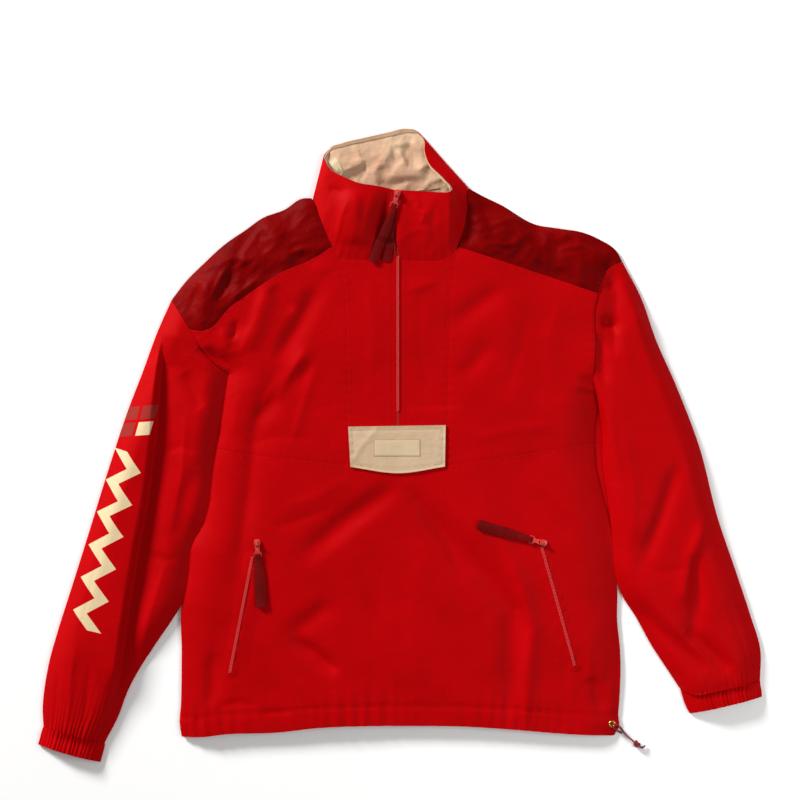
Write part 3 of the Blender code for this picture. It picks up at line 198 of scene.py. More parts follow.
# Collar from the zip round by the right and the back to the zip again:
# (foot x, foot y, foot z, rim x, rim y, rim z, bulge). A foot z of None takes the front's height.
COLLAR = [
    (0.5, 243.5, None, 0.5, 328.5, 27.0, 3.0),
    (31, 242.5, None, 31, 327, 28.0, 3.5),
    (53.5, 244.5, None, 53.5, 325.5, 29.0, 3.5),
    (64.5, 251.5, None, 61, 325.5, 28.8, 3.0),
    (74, 264, None, 67.5, 329.5, 27.0, 1.5),
    (82, 287.5, None, 65, 336.5, 24.5, 0.5),
    (85, 309.5, None, 58.5, 343, 23.0, 0.0),
    (86.5, 321, None, 50, 351.5, 20.5, 0.5),
    (87.5, 328, None, 39, 362.5, 17.5, 1.0),
    (88, 332, 7.8, 32, 381, 11.5, 1.5),
    (88, 335, 4.2, 32, 396, 6.0, 0.5),
    (83, 336, 0.5, 24, 407, 0.3, 0.0),
    (65, 327.5, 0.0, 10.5, 410.5, 0.0, 0.0),
    (26, 320, 0.0, -14.5, 406, 0.0, 0.0),
    (-14.5, 318.5, 0.0, -36.5, 401, 0.0, 0.0),
    (-65, 318.5, 0.0, -75.5, 391.5, 0.0, 0.0),
    (-105.5, 320, 0.2, -92.5, 383.5, 0.2, 0.0),
    (-112.5, 322, 5.6, -99, 375.5, 6.0, 0.0),
    (-108, 312, 11.5, -96, 365.5, 13.5, 0.0),
    (-99, 290, None, -87, 354, 18.0, 0.5),
    (-90.5, 270.5, None, -71.5, 346, 22.0, 1.5),
    (-82, 257.5, None, -54.5, 338.5, 25.0, 2.5),
    (-61, 245.5, None, -34, 335, 26.0, 3.0),
    (-34, 243.5, None, -18, 332, 26.6, 3.0),
    (-5.5, 244, None, -5.5, 328.5, 27.0, 3.0),
]

# Chest patch and the bare label on it.
PATCH = [(-64, -28), (-1.5, -36), (58, -27.5), (59, 26), (-67, 24)]
LABEL = [(-33, -13.5), (25.5, -13.5), (25.5, 7), (-33, 7)]

# Pocket zips: (name, slider end, foot end).
POCKET_ZIPS = [
    ("left", (-191, -145.5), (-220, -294)),
    ("right", (183.5, -132.5), (226, -284.5)),
]

# Zip pulls: (name, hinge point, a point the tab lies towards, tail length, tail width).
PULLS = [
    ("neck", (-4, 323), (-10.5, 297.5), 92.0, 12.0),
    ("left_pocket", (-184.5, -127.5), (-179.5, -201.5), 82.0, 13.5),
    ("right_pocket", (183.5, -125.5), (130, -111), 86.0, 13.0),
]
BODY_HEIGHT = 2.8
BRIDGE_LENGTH = 7.0
BRIDGE_WIDTH = 2.4
BRIDGE_TOP = 7.4
BRIDGE_BAR = 1.1
PIVOT_FORWARD = 0.6
PIVOT_HEIGHT = 4.5
PLATE = 1.4
TAIL_WALL = 1.0

# Drawcord at the right end of the hem.
EYELET_AT = (275, -361.5)
EYELET_WIRE = 0.95
CORD_RADIUS = 1.1
KNOT_AT = (307.5, -388)
KNOT_RADIUS = 5.0
CORD_END = (318.5, -390.5)

CUFF_SEAM_RIGHT = [(467.5, -304), (434, -312), (401.5, -318.5), (381, -322.5), (362.5, -314.5)]
CUFF_TOP_RIGHT = [(467.5, -305.5), (434, -313.5), (401.5, -320), (381, -323.5), (364, -316)]

PLATE_SHAPE = [(-0.7, 2.4), (0.1, 3.1), (5.0, 3.1), (7.6, 2.5), (10.1, 2.8), (12.4, 5.1), (16.7, 5.1),
               (17.5, 4.3)]
BAR_AT = 16.2
SLOT = (12.7, 15.0, 4.1)
WINDOW = (0.7, 4.5, 1.75)


# Smaller folds, creases and tucks of the cloth, in the same columns as the large ones.
FINE_BODY = [
    ("yoke_left_tuck", 2.2, 4, 3, [(-122, 317), (-118.5, 309.5), (-112, 303)]),
    ("yoke_left_edge_dip", -2.0, 5, 5, [(-258.5, 204), (-266.5, 188.5), (-273, 173)]),
    ("yoke_left_low", -1.6, 7, 5, [(-210.5, 201.5), (-192.5, 214.5), (-171.5, 219.5)]),
    ("yoke_left_soft", 1.5, 10, 6, [(-143, 299), (-130, 271.5), (-109, 251)]),
    ("yoke_right_crease", 2.0, 5, 3.5, [(183.5, 282), (203, 271.5), (227.5, 273)]),
    ("yoke_right_tuck", -6.0, 4, 4, [(275.5, 249.5), (271.5, 235.5), (268, 219.5)]),
    ("yoke_right_shade", -4.0, 12, 5, [(101.5, 323.5), (109, 297.5), (119.5, 271.5)]),
    ("yoke_left_streak_a", 5.4, 4, 3, [(-218.5, 238), (-231.5, 217), (-244.5, 188.5)]),
    ("yoke_left_streak_b", 5.0, 4, 3, [(-179.5, 282), (-200, 253.5), (-208, 227.5)]),
    ("yoke_left_streak_c", 4.4, 4, 3, [(-153.5, 300.5), (-161, 277), (-148, 253.5)]),
    ("yoke_right_streak_a", 4.4, 4, 3, [(156, 300.5), (177, 279.5), (216, 269)]),
    ("yoke_right_streak_b", 4.2, 4, 3, [(208, 251), (234, 258.5), (260, 245.5)]),
    ("yoke_right_edge_a", 1.6, 6, 5, [(112, 313.5), (130, 297.5), (154.5, 287.5)]),
    ("yoke_right_low", -1.5, 8, 8, [(166.5, 225), (197.5, 219.5), (234, 214.5)]),
    ("chest_left_hook", 2.0, 7, 5, [(-112, 232.5), (-101.5, 225), (-91, 230)]),
    ("chest_left_rib_a", 1.8, 6, 4, [(-121, 125), (-143, 89.5), (-161, 58.5)]),
    ("chest_left_rib_b", 1.8, 6, 4, [(-109, 105.5), (-123.5, 56), (-139, 5)]),
    ("chest_left_rib_c", 1.3, 8, 6, [(-208, 84.5), (-213, 45.5), (-218.5, 6.5)]),
    ("chest_left_low", -1.4, 9, 7, [(-195, 1.5), (-156, 11.5), (-114.5, 6.5)]),
    ("armpit_left_a", -8.0, 6, 5, [(-252, 125), (-236.5, 112), (-219.5, 100)]),
    ("armpit_left_pit", -5.5, 5, 4, [(-214.5, 160), (-213, 148), (-217, 136.5)]),
    ("armpit_left_rib", 4.0, 5, 4, [(-231.5, 149.5), (-226, 136.5), (-221, 125)]),
    ("armpit_left_drop", 2.6, 5, 4, [(-196.5, 152), (-199, 139), (-203, 125)]),
    ("armpit_left_b", 1.8, 5, 4, [(-239, 128.5), (-223.5, 121), (-200, 121)]),
    ("armpit_right_a", -2.0, 3.5, 3.5, [(234, 87), (243, 82), (252, 75.5)]),
    ("armpit_right_b", -1.8, 3.5, 3.5, [(230, 70), (240.5, 66.5), (252, 60)]),
    ("armpit_right_c", 1.4, 4, 4, [(221, 79.5), (234, 75.5), (247, 70)]),
    ("chest_right_soft", 1.5, 12, 9, [(208, 188.5), (192.5, 136.5), (197.5, 63.5)]),
    ("chest_right_soft_b", -1.3, 11, 9, [(166.5, 180.5), (156, 123.5), (130, 58.5)]),
    ("chest_right_low", 1.2, 8, 8, [(91, 6.5), (143, 19.5), (208, 27.5)]),
    ("placket_cross", -0.9, 3, 3, [(5, 50.5), (41.5, 51.5), (79.5, 53.5)]),
    ("placket_soft_a", 1.0, 9, 6, [(-44, 214.5), (-34, 149.5), (-39, 61)]),
    ("placket_soft_b", -1.0, 8, 8, [(31, 201.5), (23.5, 136.5), (36.5, 69)]),
    ("collar_root_crease", 1.6, 5, 4, [(8, 199), (26, 204), (48, 212)]),
    ("front_second_valley", -1.8, 8, 7, [(-86, -79.5), (-125, -95), (-164, -108)]),
    ("front_right_leg", -3.6, 10, 8, [(5, -50.5), (31, -82), (62.5, -128.5), (83, -180.5)]),
    ("front_left_ridge", 0.5, 10, 7, [(-10.5, -71.5), (-67.5, -123.5), (-122, -165)]),
    ("front_low_leg", -4.0, 7, 7, [(-135, -251), (-109, -269), (-82, -294)]),
    ("left_side_valley", -6.0, 15, 15,
     [(-153.5, 102.5), (-179.5, 61), (-190, 6.5), (-196.5, -58.5), (-205.5, -123.5), (-213, -201.5)]),
    ("front_left_top", 1.4, 10, 8, [(-62.5, -40.5), (-106.5, -66.5), (-151, -79.5)]),
    ("front_right_ridge_b", 1.8, 8, 6, [(52, -63.5), (109, -126), (130, -175.5)]),
    ("front_side_streak_a", 1.8, 5, 5, [(245.5, -248.5), (245.5, -290), (244.5, -331.5)]),
    ("front_side_streak_b", 1.8, 4, 4, [(273, -305.5), (274.5, -331.5), (273, -357.5)]),
    ("front_side_streak_c", -1.8, 4, 4, [(270.5, -269), (270.5, -292.5), (268, -316)]),
    ("front_side_streak_d", -1.4, 5, 5, [(216, -269), (214.5, -292.5), (213, -318.5)]),
    ("front_top_right", 1.2, 9, 7, [(169, -45.5), (208, -71.5), (242, -108)]),
    ("front_centre_soft", 1.2, 14, 10, [(26, -149.5), (15.5, -227.5), (26, -318.5)]),
    ("front_centre_dip", -1.2, 12, 12, [(-26, -175.5), (-36.5, -253.5), (-18, -326.5)]),
    ("front_left_soft", 1.3, 10, 8, [(-208, -149.5), (-210.5, -201.5), (-218.5, -331.5)]),
    ("hem_fold_a", -1.6, 4, 4, [(-236.5, -339.5), (-210.5, -333), (-184.5, -336.5)]),
    ("hem_fold_b", -1.5, 4, 4, [(-182, -348.5), (-161, -346), (-140.5, -347)]),
    ("hem_fold_c", -1.6, 4, 4, [(-269, -362.5), (-262.5, -359), (-255, -360)]),
    ("pocket_left_ridge", 1.6, 6, 6, [(-179.5, -144.5), (-195, -214.5), (-206.5, -290)]),
    ("pocket_right_ridge", 1.6, 6, 6, [(190, -149.5), (210.5, -209.5), (239, -279.5)]),
]
FINE_LEFT = [
    ("armhole_valley", -6.0, 6, 7, [(-260, 128.5), (-244.5, 113), (-226, 96)]),
    ("outer_soft_a", 1.4, 9, 7, [(-346, 32.5), (-361.5, -45.5), (-379.5, -123.5)]),
    ("outer_soft_b", -1.3, 8, 6, [(-385, -123.5), (-400.5, -188.5), (-416, -253.5)]),
    ("inner_ridge_a", 1.8, 7, 6, [(-278, 32.5), (-281, -32.5), (-296.5, -110.5)]),
    ("inner_ridge_b", 1.6, 7, 6, [(-301.5, -149.5), (-322.5, -214.5), (-338, -279.5)]),
    ("inner_cross", -1.3, 6, 5, [(-301.5, -6.5), (-283.5, -1.5), (-260, -9)]),
    ("elbow_cross", -1.3, 6, 5, [(-327.5, -139), (-304, -149.5), (-286, -144.5)]),
    ("shoulder_cross", 1.5, 6, 5, [(-291, 149.5), (-270.5, 115.5), (-242, 95)]),
    ("wrist_a", -1.6, 5, 4, [(-442, -279.5), (-444.5, -318.5), (-446, -357.5)]),
    ("wrist_b", 1.5, 5, 4, [(-421, -266.5), (-426.5, -318.5), (-429, -368)]),
    ("wrist_c", -1.6, 5, 4, [(-400.5, -284.5), (-405.5, -331.5), (-411, -373)]),
]
FINE_RIGHT = [
    ("armhole_valley", -7.0, 9, 15, [(275.5, 243), (279.5, 201.5), (279.5, 162.5), (275.5, 115.5)]),
    ("armhole_tuck_a", -4.5, 4, 4, [(269, 217), (271.5, 209.5), (273, 200)]),
    ("armhole_tuck_b", -4.0, 4, 4, [(258.5, 157.5), (268, 157.5), (277, 151)]),
    ("shoulder_soft", 1.6, 8, 7, [(278, 206.5), (283.5, 149.5), (299, 95)]),
    ("outer_soft_a", -1.4, 8, 8, [(338, 84.5), (364, 19.5), (390, -58.5)]),
    ("outer_soft_b", 1.6, 8, 6, [(398, -71.5), (418.5, -136.5), (439.5, -214.5)]),
    ("inner_soft_a", 1.6, 8, 6, [(288.5, 19.5), (301.5, -45.5), (304, -123.5)]),
    ("inner_soft_b", -1.4, 8, 6, [(286, -71.5), (301.5, -123.5), (312, -188.5)]),
    ("fan_a", 1.6, 6, 5, [(322.5, -201.5), (359, -240.5), (405.5, -282)]),
    ("fan_b", 1.5, 6, 5, [(395, -201.5), (411, -243), (439.5, -290)]),
    ("fan_c", -1.6, 5, 5, [(421, -196.5), (437, -240.5), (452.5, -284.5)]),
    ("fan_d", -1.4, 5, 5, [(338, -266.5), (364, -282), (382, -305.5)]),
    ("elbow_cross", -1.3, 6, 5, [(304, -149.5), (338, -165), (374.5, -157.5)]),
]
# Broad waves of the collar's front: the raised left part, and the hollow that the zip's tails hang over.
COLLAR_WAVES = [
    ("left_crest", 6.0, 13, 18, [(-58.5, 329), (-60, 292.5), (-60, 258.5)]),
    ("zip_hollow", -8.5, 11, 12, [(-15.5, 336.5), (-18, 299), (-21, 238)]),
    ("right_soft", 2.0, 14, 12, [(36.5, 321), (39, 286), (36.5, 253.5)]),
]
COLLAR_FOLDS = [
    ("front_left_crease", 1.8, 4, 3, [(-66.5, 318.5), (-75.5, 292.5), (-82, 265)]),
    ("front_left_dip", -2.0, 6, 5, [(-92.5, 331.5), (-83, 329), (-70, 323.5)]),
    ("front_left_soft", 1.5, 7, 6, [(-36.5, 323.5), (-44, 290), (-49.5, 253.5)]),
    ("front_right_zig_a", 1.8, 3.5, 3.5, [(15.5, 321), (23.5, 312), (21, 303)]),
    ("front_right_zig_b", 1.6, 3.5, 3.5, [(21, 303), (31, 297.5), (28.5, 284.5)]),
    ("front_right_soft", -1.5, 6, 6, [(47, 313.5), (41.5, 284.5), (47, 253.5)]),
    ("front_right_edge", 1.4, 5, 4, [(63.5, 318.5), (63.5, 284.5), (62.5, 256)]),
]
LINING_FOLDS = [
    ("lining_a", 2.4, 4, 3, [(-75.5, 355), (-62.5, 362.5), (-47, 370.5)]),
    ("lining_b", -1.8, 6, 5, [(-70, 344.5), (-57, 352.5), (-41.5, 360)]),
    ("lining_c", 2.2, 5, 3, [(-21, 396.5), (-15.5, 381), (-26, 362.5)]),
    ("lining_d", 2.0, 4, 4, [(-5, 383.5), (5, 370.5), (0, 355)]),
    ("lining_e", -1.8, 5, 5, [(15.5, 401.5), (10.5, 383.5), (18, 362.5)]),
    ("lining_f", 1.8, 5, 4, [(-18, 347), (5, 352.5), (31, 349.5)]),
    ("lining_g", 1.6, 4, 4, [(5, 407), (21, 396.5), (26, 381)]),
    ("lining_h", -1.6, 5, 5, [(-34, 339.5), (-10.5, 336.5), (15.5, 344.5)]),
]

# Slope of each pull tab in radians, as the solids have it.
TAB_SLOPES = {"neck": 0.1277, "left_pocket": 0.1322, "right_pocket": 0.1212}


# ---------------------------------------------------------------- materials

def linear(hexcode):
    """Linear RGBA of an sRGB hex code."""
    parts = [int(hexcode[i:i + 2], 16) / 255 for i in (0, 2, 4)]
    return (*[c / 12.92 if c <= 0.04045 else ((c + 0.055) / 1.055) ** 2.4 for c in parts], 1.0)


def add(tree, kind, values=None, links=None, **settings):
    """Adds a node with its settings, socket values and links."""
    made = tree.nodes.new(kind)
    for key, value in settings.items():
        setattr(made, key, value)
    for key, value in (values or {}).items():
        made.inputs[key].default_value = value
    for key, source in (links or {}).items():
        tree.links.new(source, made.inputs[key])
    return made


def math_node(tree, operation, *items):
    """Output of a maths node whose inputs are numbers or other outputs."""
    values = {index: item for index, item in enumerate(items) if isinstance(item, (int, float))}
    links = {index: item for index, item in enumerate(items) if index not in values}
    return add(tree, "ShaderNodeMath", values, links, operation=operation).outputs[0]


def mixed(tree, share, low, high):
    """Colour from low to high by the share; each is an output or a hex code."""
    values = {index: linear(item) for index, item in ((6, low), (7, high)) if isinstance(item, str)}
    links = {index: item for index, item in ((0, share), (6, low), (7, high)) if index not in values}
    return add(tree, "ShaderNodeMix", values, links, data_type="RGBA").outputs[2]


def cloudy(tree, place, scale, detail, **more):
    """Noise on Object coordinates."""
    values = {"Scale": scale, "Detail": detail, **{key.capitalize(): value for key, value in more.items()}}
    return add(tree, "ShaderNodeTexNoise", values, {"Vector": place.outputs["Object"]}).outputs[0]


def bumped(tree, shader, height, distance=1.0):
    bump = add(tree, "ShaderNodeBump", {"Strength": 1.0, "Distance": distance}, {"Height": height})
    tree.links.new(bump.outputs[0], shader.inputs["Normal"])


SHEEN_ROUGHNESS = 0.4
COAT_ROUGHNESS = 0.15


def start(name, roughness, metallic=0.0, sheen=0.0, coat=0.0, specular=0.5):
    made = bpy.data.materials.new(name)
    made.use_nodes = True
    shader = made.node_tree.nodes["Principled BSDF"]
    for socket, value in (("Roughness", roughness), ("Metallic", metallic), ("Specular IOR Level", specular),
                          ("Sheen Weight", sheen), ("Sheen Roughness", SHEEN_ROUGHNESS),
                          ("Coat Weight", coat), ("Coat Roughness", COAT_ROUGHNESS)):
        shader.inputs[socket].default_value = value
    return made, made.node_tree, shader


# Share of the crinkles' rise that their finest part takes.
FINE_SHARE = 0.2


def woven(name, main, lit, roughness, thread, weave, crinkle, sheen=0.0, specular=0.5, print_on=False):
    """Plain-woven cloth: threads on its own UV map, crinkles and random blotches of its two colours on Object
    coordinates. The blotches are uneven dyeing; on the lining they are also painted shade and painted light.

    thread is the drawn thread spacing in millimetres, several real threads wide so that it shows;
    weave and crinkle are rises in metres.
    """
    made, tree, shader = start(name, roughness, sheen=sheen, specular=specular)
    place = add(tree, "ShaderNodeTexCoord")
    threads = add(tree, "ShaderNodeSeparateXYZ", links={0: place.outputs["UV"]})
    turns = 2 * math.pi / (thread * MM)
    warp, weft = (math_node(tree, "SINE", math_node(tree, "MULTIPLY", threads.outputs[way], turns))
                  for way in (0, 1))
    cross = math_node(tree, "MULTIPLY", warp, weft)
    soft = cloudy(tree, place, 70.0, 3.0, roughness=0.55, distortion=0.6)
    fine = cloudy(tree, place, 260.0, 2.0, roughness=0.5, distortion=0.4)
    # Random blotches between the two colours: uneven dyeing, and on the lining also painted shade and painted
    # light.
    tone_blotches = cloudy(tree, place, 16.0, 4.0, roughness=0.6)
    tone = add(tree, "ShaderNodeMapRange", {"From Min": 0.35, "From Max": 0.65}, {"Value": tone_blotches})
    colour = mixed(tree, tone.outputs[0], main, lit)
    if print_on:
        colour = printed(tree, colour)
    tree.links.new(colour, shader.inputs["Base Color"])
    rise_a = math_node(tree, "MULTIPLY", soft, crinkle)
    rise_b = math_node(tree, "MULTIPLY", fine, crinkle * FINE_SHARE)
    rise_c = math_node(tree, "MULTIPLY", cross, weave)
    bumped(tree, shader, math_node(tree, "ADD", math_node(tree, "ADD", rise_a, rise_b), rise_c))
    return made


CREAM = "D2BC94"
BRICK = "8E2A24"
ZIGZAG_PITCH = 43.0
ZIGZAG_REACH = 12.5
ZIGZAG_WIDTH = 19.0
ZIGZAG_LENGTH = 236.0
# Blocks above the zigzag, slanted a little: (start, end, left, right, colour) in millimetres.
BLOCK_SLANT = 0.35
PRINT_BLOCKS = [
    (-62.0, -44.0, -20.0, -2.0, BRICK),
    (-62.0, -44.0, 2.0, 20.0, BRICK),
    (-40.0, -22.0, -20.0, -2.0, BRICK),
    (-40.0, -22.0, 2.0, 20.0, CREAM),
]


def printed(tree, colour):
    """Cream zigzag with four small blocks above it, read from the Print map in millimetres."""
    place = add(tree, "ShaderNodeUVMap", uv_map="Print")
    parts = add(tree, "ShaderNodeSeparateXYZ", links={0: place.outputs[0]})
    across, along = parts.outputs[0], parts.outputs[1]

    def band(value, low, high):
        above = math_node(tree, "GREATER_THAN", value, low)
        below = math_node(tree, "LESS_THAN", value, high)
        return math_node(tree, "MULTIPLY", above, below)

    swing = math_node(tree, "PINGPONG", along, ZIGZAG_PITCH / 2)
    offset = math_node(tree, "MULTIPLY_ADD", swing, 2 * ZIGZAG_REACH / (ZIGZAG_PITCH / 2), -ZIGZAG_REACH)
    from_line = math_node(tree, "ABSOLUTE", math_node(tree, "SUBTRACT", across, offset))
    zigzag = math_node(tree, "MULTIPLY", math_node(tree, "LESS_THAN", from_line, ZIGZAG_WIDTH / 2),
                       band(along, 0.0, ZIGZAG_LENGTH))
    for low, high, left, right, tint in PRINT_BLOCKS:
        slanted = math_node(tree, "MULTIPLY_ADD", across, BLOCK_SLANT, along)
        bar = math_node(tree, "MULTIPLY", band(slanted, low, high), band(across, left, right))
        colour = mixed(tree, bar, colour, tint)
    return mixed(tree, zigzag, colour, CREAM)


# Matt crisp nylon, dyed red: soft broad highlights and many small crinkles.
RED = woven("woven_nylon_red", "A80003", "B00005", 0.58, 1.5, 0.00002, 0.0004, specular=0.03)
RED_PRINT = woven("woven_nylon_red_printed", "A80003", "B00005", 0.58, 1.5, 0.00002, 0.0004, specular=0.03,
                  print_on=True)
# Closer, shinier nylon, dyed maroon: tighter glossy highlights on its folds.
MAROON = woven("woven_nylon_maroon", "660001", "780202", 0.5, 1.5, 0.00002, 0.0011, specular=0.02)
# Thin crinkled cotton, a browner tan than the patch. Its two colours lie far apart: the pinkish brown is
# painted shade and the pale cream is painted light, scattered at random over its uneven dyeing.
LINING_WITH_PAINTED_SHADE = woven("cotton_lining_tan_with_painted_shade", "B6866A", "D6B492", 0.9, 1.4, 0.00006, 0.0014, sheen=0.15)
# Brushed cotton twill: flat and matt, with a dusty edge to it.
TAN = woven("brushed_cotton_tan", "C2A482", "CCB090", 0.92, 1.6, 0.00010, 0.0009, sheen=0.25)
BINDING = woven("cotton_binding_brown", "AC8764", "BC9876", 0.9, 1.4, 0.00010, 0.0010, sheen=0.2)
LABEL_CLOTH = woven("satin_label_cream", "C8AE88", "D2BA96", 0.7, 1.2, 0.00006, 0.0006, sheen=0.1)
WEBBING = woven("polyester_webbing", "5C0102", "740304", 0.6, 2.0, 0.00022, 0.0006, specular=0.06)
ZIP_TAPE = woven("zip_tape_red", "A00006", "AC0208", 0.75, 1.4, 0.00010, 0.0004, specular=0.2)


def plain(name, main, lit, roughness, scale, depth, metallic=0.0, coat=0.0, specular=0.5):
    """Hard or cord finish: slight mottling of colour and surface on Object coordinates."""
    made, tree, shader = start(name, roughness, metallic=metallic, coat=coat, specular=specular)
    mottle = cloudy(tree, add(tree, "ShaderNodeTexCoord"), scale, 3.0)
    tree.links.new(mixed(tree, mottle, main, lit), shader.inputs["Base Color"])
    bumped(tree, shader, math_node(tree, "MULTIPLY", mottle, depth))
    return made


# Moulded nylon coil: semi-gloss.
COIL = plain("moulded_nylon_coil", "DC2A2C", "EA3C3A", 0.40, 900.0, 0.00004)
# Thick enamel over cast zinc: smooth and wet-looking.
ENAMEL = plain("cast_zinc_red_enamel", "BE2A24", "CE3A32", 0.30, 500.0, 0.00005, coat=0.4)
# Polished brass: bright, slightly worn.
BRASS = plain("polished_brass", "B8863A", "D9AE62", 0.26, 700.0, 0.00005, metallic=1.0)
# Spun polyester thread, a shade darker than the cloth.
THREAD = plain("polyester_thread_red", "A00204", "AC0306", 0.6, 900.0, 0.00002, specular=0.1)
THREAD_TAN = plain("polyester_thread_tan", "B7966E", "C9AB84", 0.7, 900.0, 0.00002)
THREAD_LABEL = plain("polyester_thread_brown", "7E5A3E", "8E6A4A", 0.7, 900.0, 0.00002)
THREAD_DARK = plain("polyester_thread_maroon", "600103", "720306", 0.6, 900.0, 0.00002, specular=0.2)


# Turns of the braid's waves in a metre, as an angle, and their rise in metres.
BRAID_TURNS = 4200.0
BRAID_RISE = 0.0002


def braided(name):
    """Round braid: two sets of diagonal strands on Object coordinates."""
    made, tree, shader = start(name, 0.7, sheen=0.1)
    place = add(tree, "ShaderNodeTexCoord")
    parts = add(tree, "ShaderNodeSeparateXYZ", links={0: place.outputs["Object"]})
    ways = [math_node(tree, way, parts.outputs[0], parts.outputs[1]) for way in ("ADD", "SUBTRACT")]
    waves = [math_node(tree, "SINE", math_node(tree, "MULTIPLY", way, BRAID_TURNS)) for way in ways]
    share = math_node(tree, "MULTIPLY_ADD", math_node(tree, "MULTIPLY", *waves), 0.5, 0.5)
    tree.links.new(mixed(tree, share, "5C0009", "8C0414"), shader.inputs["Base Color"])
    bumped(tree, shader, share, BRAID_RISE)
    return made


CORD = braided("braided_polyester_cord")

# ---------------------------------------------------------------- curves and heights

def shares_along(steps):
    """Share of the whole length at each point, from the lengths of the steps between them."""
    at = np.concatenate([[0.0], np.cumsum(steps)])
    return at / at[-1]


def smooth_between(rows, at, wanted):
    """Smooth curve through rows that lie at the shares, read at the wanted shares."""
    slopes = np.gradient(rows, at, axis=0) if len(rows) > 2 else np.zeros_like(rows) + (rows[1] - rows[0])
    wanted = np.asarray(wanted, float)
    index = np.clip(np.searchsorted(at, wanted, side="right") - 1, 0, len(rows) - 2)
    span = (at[index + 1] - at[index])[:, None]
    t = (wanted - at[index])[:, None] / span
    a, b = rows[index], rows[index + 1]
    ta, tb = slopes[index] * span, slopes[index + 1] * span
    return ((2 * t ** 3 - 3 * t ** 2 + 1) * a + (t ** 3 - 2 * t ** 2 + t) * ta
            + (3 * t ** 2 - 2 * t ** 3) * b + (t ** 3 - t ** 2) * tb)


def curve(points, fractions):
    """Smooth curve through the points, read at fractions of its length in plan."""
    rows = np.asarray(points, float)
    return smooth_between(rows, shares_along(np.linalg.norm(np.diff(rows[:, :2], axis=0), axis=1)), fractions)


def even(points, count):
    return curve(points, np.linspace(0, 1, count + 1))


def run_distance(at, run):
    """Distance from each plan point to the run, its side (+1 on the right) and its share of the run."""
    line = np.asarray(run, float)
    lengths = np.linalg.norm(np.diff(line, axis=0), axis=1)
    before = np.concatenate([[0.0], np.cumsum(lengths)])
    best = np.full(at.shape[:-1], 1e9)
    side = np.ones(at.shape[:-1])
    share = np.zeros(at.shape[:-1])
    for index in range(len(line) - 1):
        step = line[index + 1] - line[index]
        away = at - line[index]
        t = np.clip((away @ step) / (step @ step), 0, 1)
        gap = away - t[..., None] * step
        distance = np.linalg.norm(gap, axis=-1)
        turn = step[0] * away[..., 1] - step[1] * away[..., 0]
        nearer = distance < best
        best = np.where(nearer, distance, best)
        side = np.where(nearer, np.where(turn < 0, 1.0, -1.0), side)
        share = np.where(nearer, (before[index] + t * lengths[index]) / before[-1], share)
    return best, side, share


def relief(at, folds):
    """Height that the folds add at plan points; left and right are as seen along the run."""
    total = np.zeros(at.shape[:-1])
    for _, height, left, right, run in folds:
        distance, side, share = run_distance(at, run)
        width = np.where(side > 0, right, left)
        fade = 1 - 0.8 * np.abs(2 * share - 1) ** 4
        total += height * fade * np.exp(-((distance / width) ** 2))
    return total


def rise(distance, roll):
    return np.sin(0.5 * math.pi * np.clip(distance / roll, 0, 1))


def raised(at, small, lift_reach, fullness):
    """Height of the front: its loft and the small relief inside its edges, and the lifted corners."""
    edge = np.ones(at.shape[:-1])
    for (roll, run), power in zip(EDGES, fullness):
        edge = edge * rise(run_distance(at, run)[0], roll) ** power
    levels = np.asarray(LOFT, float)
    loft = np.interp(at[..., 1], levels[:, 0], levels[:, 1])
    corners = sum(CORNER_LIFT * np.exp(-((at - np.array(corner)) ** 2).sum(-1) / lift_reach ** 2)
                  for corner in NECK_CORNERS)
    return SEAM_TOP + corners + edge * np.maximum(loft + small, LEAST_LOFT)


def body_height(at):
    """Height of the front at plan points with its large folds only."""
    return raised(at, relief(at, BODY_FOLDS), TRIM_LIFT_REACH, [1.0] * len(EDGES))


def coons(bottom, top, left, right):
    """Plan grid between four sampled sides: bottom and top run left to right, the others upwards."""
    u = np.linspace(0, 1, len(bottom))[None, :, None]
    v = np.linspace(0, 1, len(left))[:, None, None]
    grid = (1 - v) * bottom[None] + v * top[None] + (1 - u) * left[:, None] + u * right[:, None]
    grid -= (1 - u) * (1 - v) * bottom[0] + u * (1 - v) * bottom[-1]
    grid -= (1 - u) * v * top[0] + u * v * top[-1]
    return grid


def inset(grid, amount):
    """Grid with its four sides moved in by the amount."""
    made = grid.copy()
    for side, inside in ((0, 1), (-1, -2)):
        step = grid[inside] - grid[side]
        made[side] += step / np.linalg.norm(step, axis=-1, keepdims=True) * amount
    for side, inside in ((0, 1), (-1, -2)):
        step = grid[:, inside] - grid[:, side]
        made[:, side] += step / np.linalg.norm(step, axis=-1, keepdims=True) * amount
    return made


def tube_rows(table, shares):
    rows = np.array([[*outer, *inner, crown] for outer, inner, crown in table], float)
    steps = np.linalg.norm(np.diff((rows[:, :2] + rows[:, 2:4]) / 2, axis=0), axis=1)
    return smooth_between(rows, shares_along(steps), shares)


# ---------------------------------------------------------------- cloth heights

def crumple(at, size, amount, seed):
    """Soft uneven rise and fall of loose cloth, with the given patch size in millimetres."""
    flat = at.reshape(-1, 2) / size
    values = [noise.noise(Vector((x, y, seed))) for x, y in flat]
    return amount * np.array(values).reshape(at.shape[:-1])


def crinkle(at, size, amount, seed):
    """Crisp narrow ridges between soft hollows, as thin closely woven cloth takes them."""
    smooth = crumple(at, size, 1.0, seed)
    return amount * (np.exp(-np.abs(smooth) / 0.22) - 0.35)


# How much of each table's fold heights is used.
FOLD_GAIN = 1.05
FINE_GAIN = 0.95
SLEEVE_GAIN = 1.3


